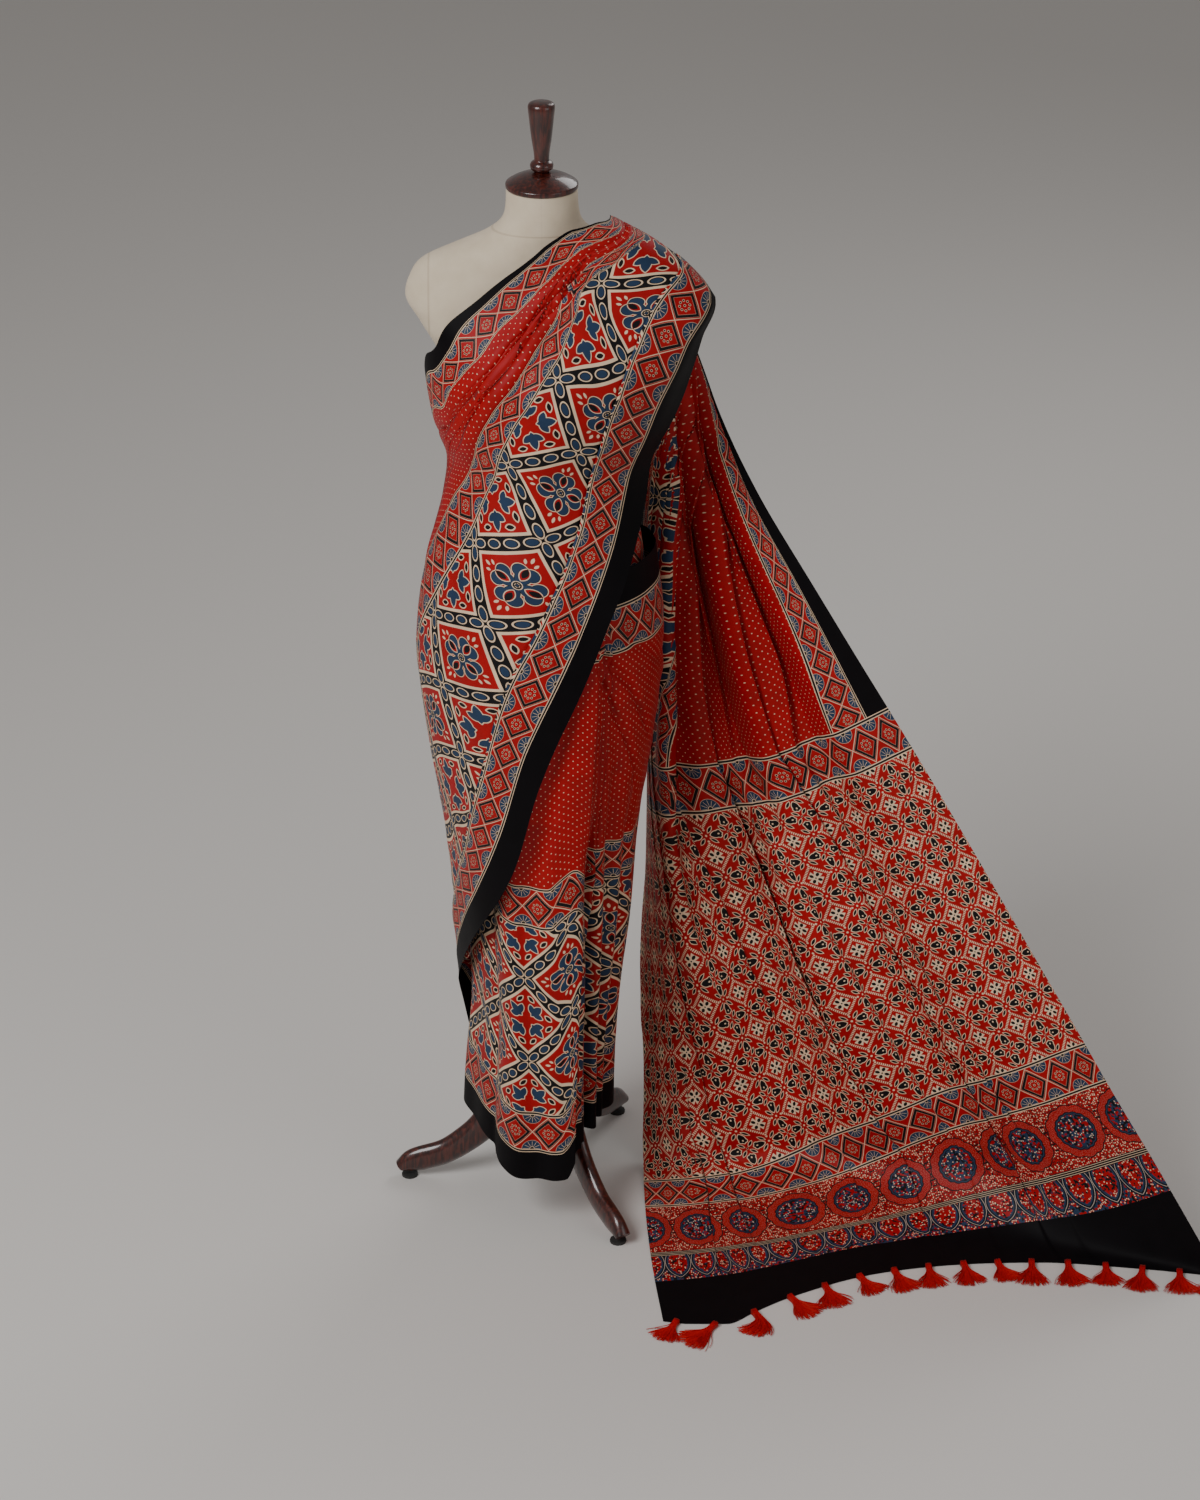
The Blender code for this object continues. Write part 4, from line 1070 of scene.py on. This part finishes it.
def scallops():
    """Pointed lobes outlined in black, cream and indigo, under three fine lines."""
    f = Finish("scallop_cloth")
    x, y = f.printed()
    lobe = f.almond(y - 0.008, x.near(MEDALLION_PITCH / 2), 0.038, 0.0248)
    spot, which = f.specks(x, y, 0.0032, 0.36, 5.0)
    lines = y > 0.0245
    layers = (
        (BLACK, (which - 0.22).within(NUMBER_EDGE)),
        (INDIGO, (abs(which - 0.42) - 0.2).within(NUMBER_EDGE)),
        (RED, (lobe < -0.008) * (0.25 - which).within(NUMBER_EDGE)),
        (CREAM, spot * (0.80 - which).within(NUMBER_EDGE)),
        (INDIGO, f.ring(lobe, -0.0024, 0.0042)),
        (CREAM, f.ring(lobe, -0.0012, 0.0003)),
        (BLACK, f.ring(lobe, 0.0008, 0.0009) | f.ring(lobe, -0.0032, 0.0009)),
        (BLACK, lines),
        (CREAM, lines * ((y - 0.0262).near(0.0034) < 0.0004)),
    )
    return f.cloth(f.painted(RED, *layers))


def form_canvas():
    """Cream plain weave, drawn tight, with the form's seams pressed in and darkened with painted shade."""
    f = Finish("form_canvas", 0.85, Sheen_Weight=0.1)
    at = f.place()
    x, _, z = f.parts(at, 3)
    beside = abs(x - float(AXIS[0]))
    arm = (abs(beside - FORM_SEAM) - 0.0012).within(0.0012) * (1.29 - z).within(0.01)
    middle = (beside - 0.0009).within(0.0009)
    neck = (abs(z - NECK_SEAM) - 0.001).within(0.001)
    seam = (arm | neck) * 0.55 + middle * 0.12
    weave = (x * WEAVE).math("SINE") * (z * WEAVE).math("SINE")
    soft = f.noise(at, 45.0, 4.0)
    dull, painted_seam_shade = (0.60, 0.49, 0.35), (0.36, 0.27, 0.18)
    # The seams are darkened in colour: painted shade in their grooves, on top of the pressed-in bump.
    colour = f.painted((0.74, 0.63, 0.48), (dull, soft), (painted_seam_shade, seam * 0.7))
    f.set(Base_Color=colour, Normal=f.bump(0.35, weave * 0.15 + soft * 0.5 - seam))
    return f.material


def dark_wood():
    """Dark red-brown turned wood under gloss varnish, its grain drawn out along the height."""
    f = Finish("dark_wood", 0.3, Coat_Weight=0.7, Coat_Roughness=0.06)
    drawn = f.node("Mapping", {}, {0: f.place(), 3: (60.0, 60.0, 7.0)})
    grain = f.noise(drawn, 4.0, 5.0, Distortion=0.6)
    share = (grain - 0.42).math("MULTIPLY", 4.0, clamp=True)
    brown = f.painted((0.022, 0.0032, 0.002), ((0.095, 0.014, 0.007), share))
    f.set(Base_Color=brown, Roughness=grain * 0.15 + 0.25)
    return f.material


def foot_pads():
    """Matt black pads, a little worn."""
    f = Finish("foot_pads", 0.8)
    worn = f.noise(f.place(), 300.0, 3.0)
    black = f.painted((0.012, 0.011, 0.011), ((0.04, 0.038, 0.036), worn))
    f.set(Base_Color=black, Normal=f.bump(0.3, worn, 0.0006))
    return f.material


def tassel_thread():
    """Bright red thread, each strand a little lighter or darker."""
    f = Finish("tassel_thread", 0.42, Sheen_Weight=0.02, Specular_IOR_Level=0.25)
    strand = f.noise(f.place(), 420.0, 2.0)
    red = f.painted((0.30, 0.001, 0.001), ((0.72, 0.006, 0.004), strand))
    f.set(Base_Color=red, Roughness=strand * 0.2 + 0.32)
    return f.material


# ---------------------------------------------------------------- pieces
SHARP_ANGLE = 42  # degrees; a stronger edge on the form or stand isn't smoothed
FLOOR_SIZE = 30
# Lamps: name, place, size and power
LAMPS = (
    ("key_lamp", (-2.6, -2.6, 3.6), 2.0, 135.0),
    ("fill_lamp", (3.0, -2.8, 2.2), 2.6, 22.0),
    ("back_lamp", (1.4, 2.8, 3.2), 1.8, 30.0),
)
LAMPS_FACE = (0.0, 0.0, 0.8)
CAMERA_PLACE = (0.077, -5.2, 3.32)  # from the foot of the stand's axis
CAMERA_DIP = 0.4653  # radians below level
PHOTO_FOCAL, PHOTO_HEIGHT = 4112.6, 1500  # the photograph's, in its own pixels
SENSOR_HEIGHT = 24.0


def quads(here, after):
    """Faces between neighbouring rows of point numbers, each row running from here to the one after."""
    corners = [here[..., :-1, :], after[..., :-1, :], after[..., 1:, :], here[..., 1:, :]]
    return np.stack(corners, -1).reshape(-1, 4).tolist()


def added(name, data):
    """A new object in the scene, with that mesh, lamp or camera."""
    made = bpy.data.objects.new(name, data)
    bpy.context.scene.collection.objects.link(made)
    return made


def skin(name, points, faces, finishes, slot_name, *nodes):
    """A smooth mesh about the stand's axis, in place of those CAD pieces."""
    mesh = bpy.data.meshes.new(name)
    mesh.from_pydata((points + AXIS).reshape(-1, 3), [], faces)
    for finish in finishes:
        mesh.materials.append(finish)
    mesh.shade_smooth()
    made = added(name, mesh)
    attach(made, "root")
    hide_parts(*nodes)
    return made


def closed_piece(name, rings, finish, node, slot_name):
    """A closed skin over rings of points, its two ends filled; rings run upwards, points anticlockwise."""
    index = np.arange(rings[..., 0].size).reshape(rings.shape[:2])
    faces = quads(index, np.roll(index, -1, axis=1)) + [index[0, ::-1].tolist(), index[-1].tolist()]
    made = skin(name, rings, faces, [finish], slot_name, node)
    made.data.set_sharp_from_angle(angle=math.radians(SHARP_ANGLE))


def turned_rings(profile, count=64):
    """Rings about the stand's axis from rows of radius and height."""
    profile = np.asarray(profile)
    angle = even_angles(count)
    r, z = profile[:, :1], profile[:, 1:]
    return np.stack([r * np.cos(angle), r * np.sin(angle), z + 0 * angle], -1)


def rounded(profile, count=70):
    """The profile read at even steps of its own length, with its corners eased."""
    profile = np.asarray(profile, float)
    way = np.concatenate([[0], np.cumsum(np.linalg.norm(np.diff(profile, axis=0), axis=1))])
    return through(np.column_stack([way, profile]), np.linspace(0, way[-1], count))


def legs(wood):
    """Three curved legs: ellipses about the middle line of LEG, which lean with it and grow thinner."""
    rows = refined(LEG, LEG_ROWS)
    share = np.linspace(0, 1 - 1 / len(LEG), LEG_ROWS)[:, None]
    around = even_angles(32)[None, :]
    lean = np.radians(rows[:, 3:4])
    up = np.sin(around) * rows[:, 2:3] / 2
    side = np.cos(around) * LEG_THICKNESS * (1 - 0.25 * share) / 2
    out = rows[:, 0:1] + np.sin(lean) * up
    z = np.maximum(rows[:, 1:2] + np.cos(lean) * up, FOOT_PAD_HEIGHT + GAP)
    for name, degrees in LEG_ANGLES:
        c, s = math.cos(math.radians(degrees)), math.sin(math.radians(degrees))
        leg = np.stack([out * c - side * s, out * s + side * c, z + 0 * side], -1)
        closed_piece(f"cabriole_{name}", leg[:, ::-1], wood, f"leg_{name}", "dark_wood")


def form_and_stand():
    """The dress form, the turned pieces of its stand, its legs, and a finish for the CAD's foot pads."""
    canvas, wood, pads = form_canvas(), dark_wood(), foot_pads()
    angle = even_angles(128)
    heights = np.linspace(TORSO_BOTTOM, TORSO[-1][0], 190)
    torso = np.stack([round_section(TORSO, angle, z + 0 * angle, 0.0) for z in heights])
    closed_piece("dress_form", torso, canvas, "form_torso", "form_canvas")
    base = TORSO[-1][0] + GAP
    cap_top = base + 0.0215
    top = cap_top + GAP
    # Each profile's rows: radius and height
    cap = (
        (CAP_RADIUS - 0.001, base), (CAP_RADIUS + 0.0005, base + 0.002),
        (CAP_RADIUS + 0.0005, base + 0.0055), (CAP_RADIUS - 0.004, base + 0.0095),
        (0.030, base + 0.0165), (0.016, base + 0.0205), (0.0105, cap_top),
    )
    handle = (
        (0.0100, top), (0.0150, top + 0.005), (0.0156, top + 0.009), (0.0140, top + 0.013),
        (0.0100, top + 0.0165), (0.0104, top + 0.024), (0.0135, 1.61), (0.0168, 1.640), (0.0180, 1.653),
        (0.0165, 1.658), (0.0120, TOTAL_HEIGHT),
    )
    pole = ((POLE_RADIUS, HUB_HIGH + GAP), (POLE_RADIUS, TORSO_BOTTOM - GAP))
    hub = (
        (0.012, HUB_LOW - 0.02), (0.024, HUB_LOW - 0.012), (HUB_RADIUS - 0.002, HUB_LOW),
        (HUB_RADIUS - 0.002, HUB_HIGH - 0.03), (0.030, HUB_HIGH - 0.02), (0.019, HUB_HIGH),
    )
    turned = (
        ("cap", rounded(cap), "neck_cap"),
        ("handle", rounded(handle, 110), "cap_handle"),
        ("post", pole, "pole"),
        ("boss", rounded(hub), "hub"),
    )
    for name, profile, node in turned:
        closed_piece(name, turned_rings(profile), wood, node, "dark_wood")
    legs(wood)
    for name, _ in LEG_ANGLES:
        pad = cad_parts[f"foot_{name}"]
        pad.data.materials.clear()
        pad.data.materials.append(pads)


def tassel_fans():
    """All tassels as one piece: thin three-sided strands that leave a bound head and settle on the floor.

    A strand runs out at its own angle, bends by a sine of its length, and its height falls off with a
    power of what is left of its way. Near the head all strands run side by side.
    """
    rng = np.random.default_rng(7)
    each = (TASSEL_COUNT, STRANDS, 1)
    share = (np.arange(TASSEL_COUNT) + 0.35) / (TASSEL_COUNT - 0.3)
    here = through(END_HEM, share)[:, None, None]
    run = through(END_HEM, np.minimum(1, share + 0.01)) - through(END_HEM, np.maximum(0, share - 0.01))
    lean, curl, stretch = np.array(TASSEL_LEANS).T[..., None, None]
    heading = (np.arctan2(run[:, 1], run[:, 0]) - math.pi / 2)[:, None, None] + np.radians(lean)
    spot = rng.uniform(-1, 1, each)
    layer = rng.uniform(0, 1, each)
    fan = heading + spot * np.radians(FAN_ANGLE) + rng.normal(0, 0.06, each)
    long = TASSEL_LENGTH * stretch * rng.uniform(0.70, 1.0, each)
    way = np.linspace(0, 1, STRAND_ROWS)
    fan = fan + rng.normal(0, 0.18, each) * np.sin(math.pi * way) + np.radians(curl) * way**1.5
    loose = ramp(way, 0.12, 0.5)
    straight = heading + (fan - heading) * loose
    tied = spot * HEAD_RADIUS * (1 - loose)
    step = np.diff(long * way, axis=-1, prepend=0)
    x = here[..., 0] - np.sin(heading) * tied + np.cumsum(np.cos(straight) * step, -1)
    y = here[..., 1] + np.cos(heading) * tied + np.cumsum(np.sin(straight) * step, -1)
    z = 0.0012 + 0.0055 * layer * (1 - way) ** 1.3 + 0.0012 * layer
    path = np.stack([x, y, z], -1).reshape(-1, STRAND_ROWS, 1, 3)
    across = np.stack([-np.sin(straight), np.cos(straight), 0 * straight], -1).reshape(path.shape)
    corner = (2 * math.pi * np.arange(3) / 3 + math.pi / 2)[:, None]
    ring = across * np.cos(corner) + np.array([0, 0, 1.0]) * np.sin(corner)
    points = path + ring * (STRAND_RADIUS * (1 - 0.45 * way))[:, None, None]
    index = np.arange(points[..., 0].size).reshape(points.shape[:3])
    faces = quads(index, np.roll(index, -1, axis=2)) + index[:, 0, ::-1].tolist() + index[:, -1].tolist()
    nodes = [f"tassel_{k + 1:02d}" for k in range(TASSEL_COUNT)]
    return skin("tassel_fans", points, faces, [tassel_thread()], "tassel_thread", *nodes)


def from_middle(places, lines, zones, names):
    """Places measured from the middle of the zone that they lie in, and that zone's finish by number.

    A diamond band that is wider or narrower than drawn is read at its own stretch.
    """
    lines = np.asarray(lines)
    k = np.clip(np.searchsorted(lines, places.mean(-1)) - 1, 0, len(zones) - 1)
    wide = np.diff(lines)
    stretch = np.array([FLOWER_BAND / w if zone == "diamonds" else 1.0 for w, zone in zip(wide, zones)])
    middle = (lines[1:] + lines[:-1]) / 2
    number = np.array([names.index(zone) for zone in zones])
    return (places - middle[k][..., None]) * stretch[k][..., None], number[k]


def cloth_piece(name, rows, along, across, finishes):
    """One piece of the saree: its mesh, its print coordinates and one finish per print zone."""
    index = np.arange(rows[..., 0].size).reshape(rows.shape[:2])
    faces = quads(index[:, :-1], index[:, 1:])
    names = sorted(finishes)
    made = skin(name, rows, faces, [finishes[zone] for zone in names], "ajrakh_print", "saree")
    e = np.stack([along[:-1], along[:-1], along[1:], along[1:]], -1)[:, None]
    t = np.stack([across[:-1], across[1:], across[1:], across[:-1]], -1)[None]
    from_end, end_zone = from_middle(e, END_LINES, END_ZONES, names)
    from_edge, body_zone = from_middle(t, BODY_LINES, BODY_ZONES, names)
    tucked = np.interp(e, (SLIDE_FROM, SLIDE_FROM + TUCKS_OVER), (1.0, GROUND_TUCKED))
    ground = (body_zone == names.index("dotted_ground"))[..., None]
    from_edge = np.where(ground, from_edge * tucked, from_edge)
    at_end = e.mean(-1) < END_LINES[-1]
    slots = np.where(at_end, end_zone, body_zone)
    drawn = np.where(at_end[..., None], t + 0 * e, e + 0 * t)
    drawn = np.stack([drawn, np.where(at_end[..., None], from_end + 0 * t, from_edge + 0 * e)], -1)
    made.data.uv_layers.new(name="print").data.foreach_set("uv", drawn.reshape(-1))
    made.data.polygons.foreach_set("material_index", slots.reshape(-1).astype(np.int32))
    made.data.update()
    return made


def whole_cloth():
    """The cloth read at even places of its print, with its gathered folds, and those places."""
    grid = worked_rows()
    distance = distance_from_end(grid)
    longest = float(distance[0].min()) - 0.002
    across = stations(BODY_LINES, STEP_ACROSS, 0.0, CLOTH_WIDTH)
    before = stations((*END_LINES, *CUTS), STEP_ALONG, 0.0, PLEATS_FROM)
    behind = stations((*END_LINES, *CUTS), STEP_IN_PLEATS, PLEATS_FROM, longest)
    along = np.concatenate([before, behind[1:]])
    rows = read_at(grid, distance, along)
    flat = rows.transpose(1, 0, 2).reshape(len(ACROSS), -1)
    fine = through(np.column_stack([ACROSS, flat]), across)
    rows = slid(fine.reshape(len(across), len(along), 3).transpose(1, 0, 2), across, along)
    rows = pleat_creases(gathered(rows, across, along), along)
    rows[..., 2] = np.maximum(rows[..., 2], ABOVE_FLOOR)
    return rows, along, across


def saree():
    """The whole cloth, cut into pieces that meet edge to edge."""
    rows, along, across = whole_cloth()
    makers = (plain_black, diamonds, lattice, dotted_ground, net, medallions, scallops)
    finishes = {maker.__name__: maker() for maker in makers}
    fringe = tassel_fans()
    for name, low, high in zip(PIECE_NAMES, CUTS, CUTS[1:]):
        first, last = np.searchsorted(along, (low - 1e-6, min(high, along[-1]) - 1e-6))
        part, places = rows[first : last + 1], along[first : last + 1]
        made = cloth_piece(name, part, places, across, finishes)
        flat = (CLOTH_WIDTH, float(places[-1] - places[0]))


def studio():
    """A pale flat floor under a pale sky, soft lamps, and the camera where the photograph was taken from."""
    bpy.ops.mesh.primitive_plane_add(size=FLOOR_SIZE)
    floor = bpy.context.object
    floor.name = "floor"
    pale = Finish("pale_floor", 0.7)
    pale.set(Base_Color=(0.72, 0.69, 0.66, 1.0))
    floor.data.materials.append(pale.material)
    world = bpy.data.worlds.new("soft_room")
    bpy.context.scene.world = world
    world.use_nodes = True
    world.node_tree.nodes["Background"].inputs[0].default_value = (0.80, 0.78, 0.76, 1.0)
    world.node_tree.nodes["Background"].inputs[1].default_value = 0.30
    for name, place, size, power in LAMPS:
        light = bpy.data.lights.new(name, "AREA")
        light.size = size
        light.energy = power
        lamp = added(name, light)
        lamp.location = place
        away = np.array(place) - np.array(LAMPS_FACE)
        lamp.rotation_euler = (math.acos(away[2] / np.linalg.norm(away)), 0, math.atan2(away[0], -away[1]))
    lens = bpy.data.cameras.new("camera")
    lens.sensor_fit = "VERTICAL"
    lens.sensor_height = SENSOR_HEIGHT
    lens.lens = PHOTO_FOCAL / PHOTO_HEIGHT * SENSOR_HEIGHT
    camera = added("camera", lens)
    camera.location = AXIS + np.array(CAMERA_PLACE)
    camera.rotation_euler = (math.pi / 2 - CAMERA_DIP, 0, 0)
    bpy.context.scene.camera = camera


studio()
form_and_stand()
saree()
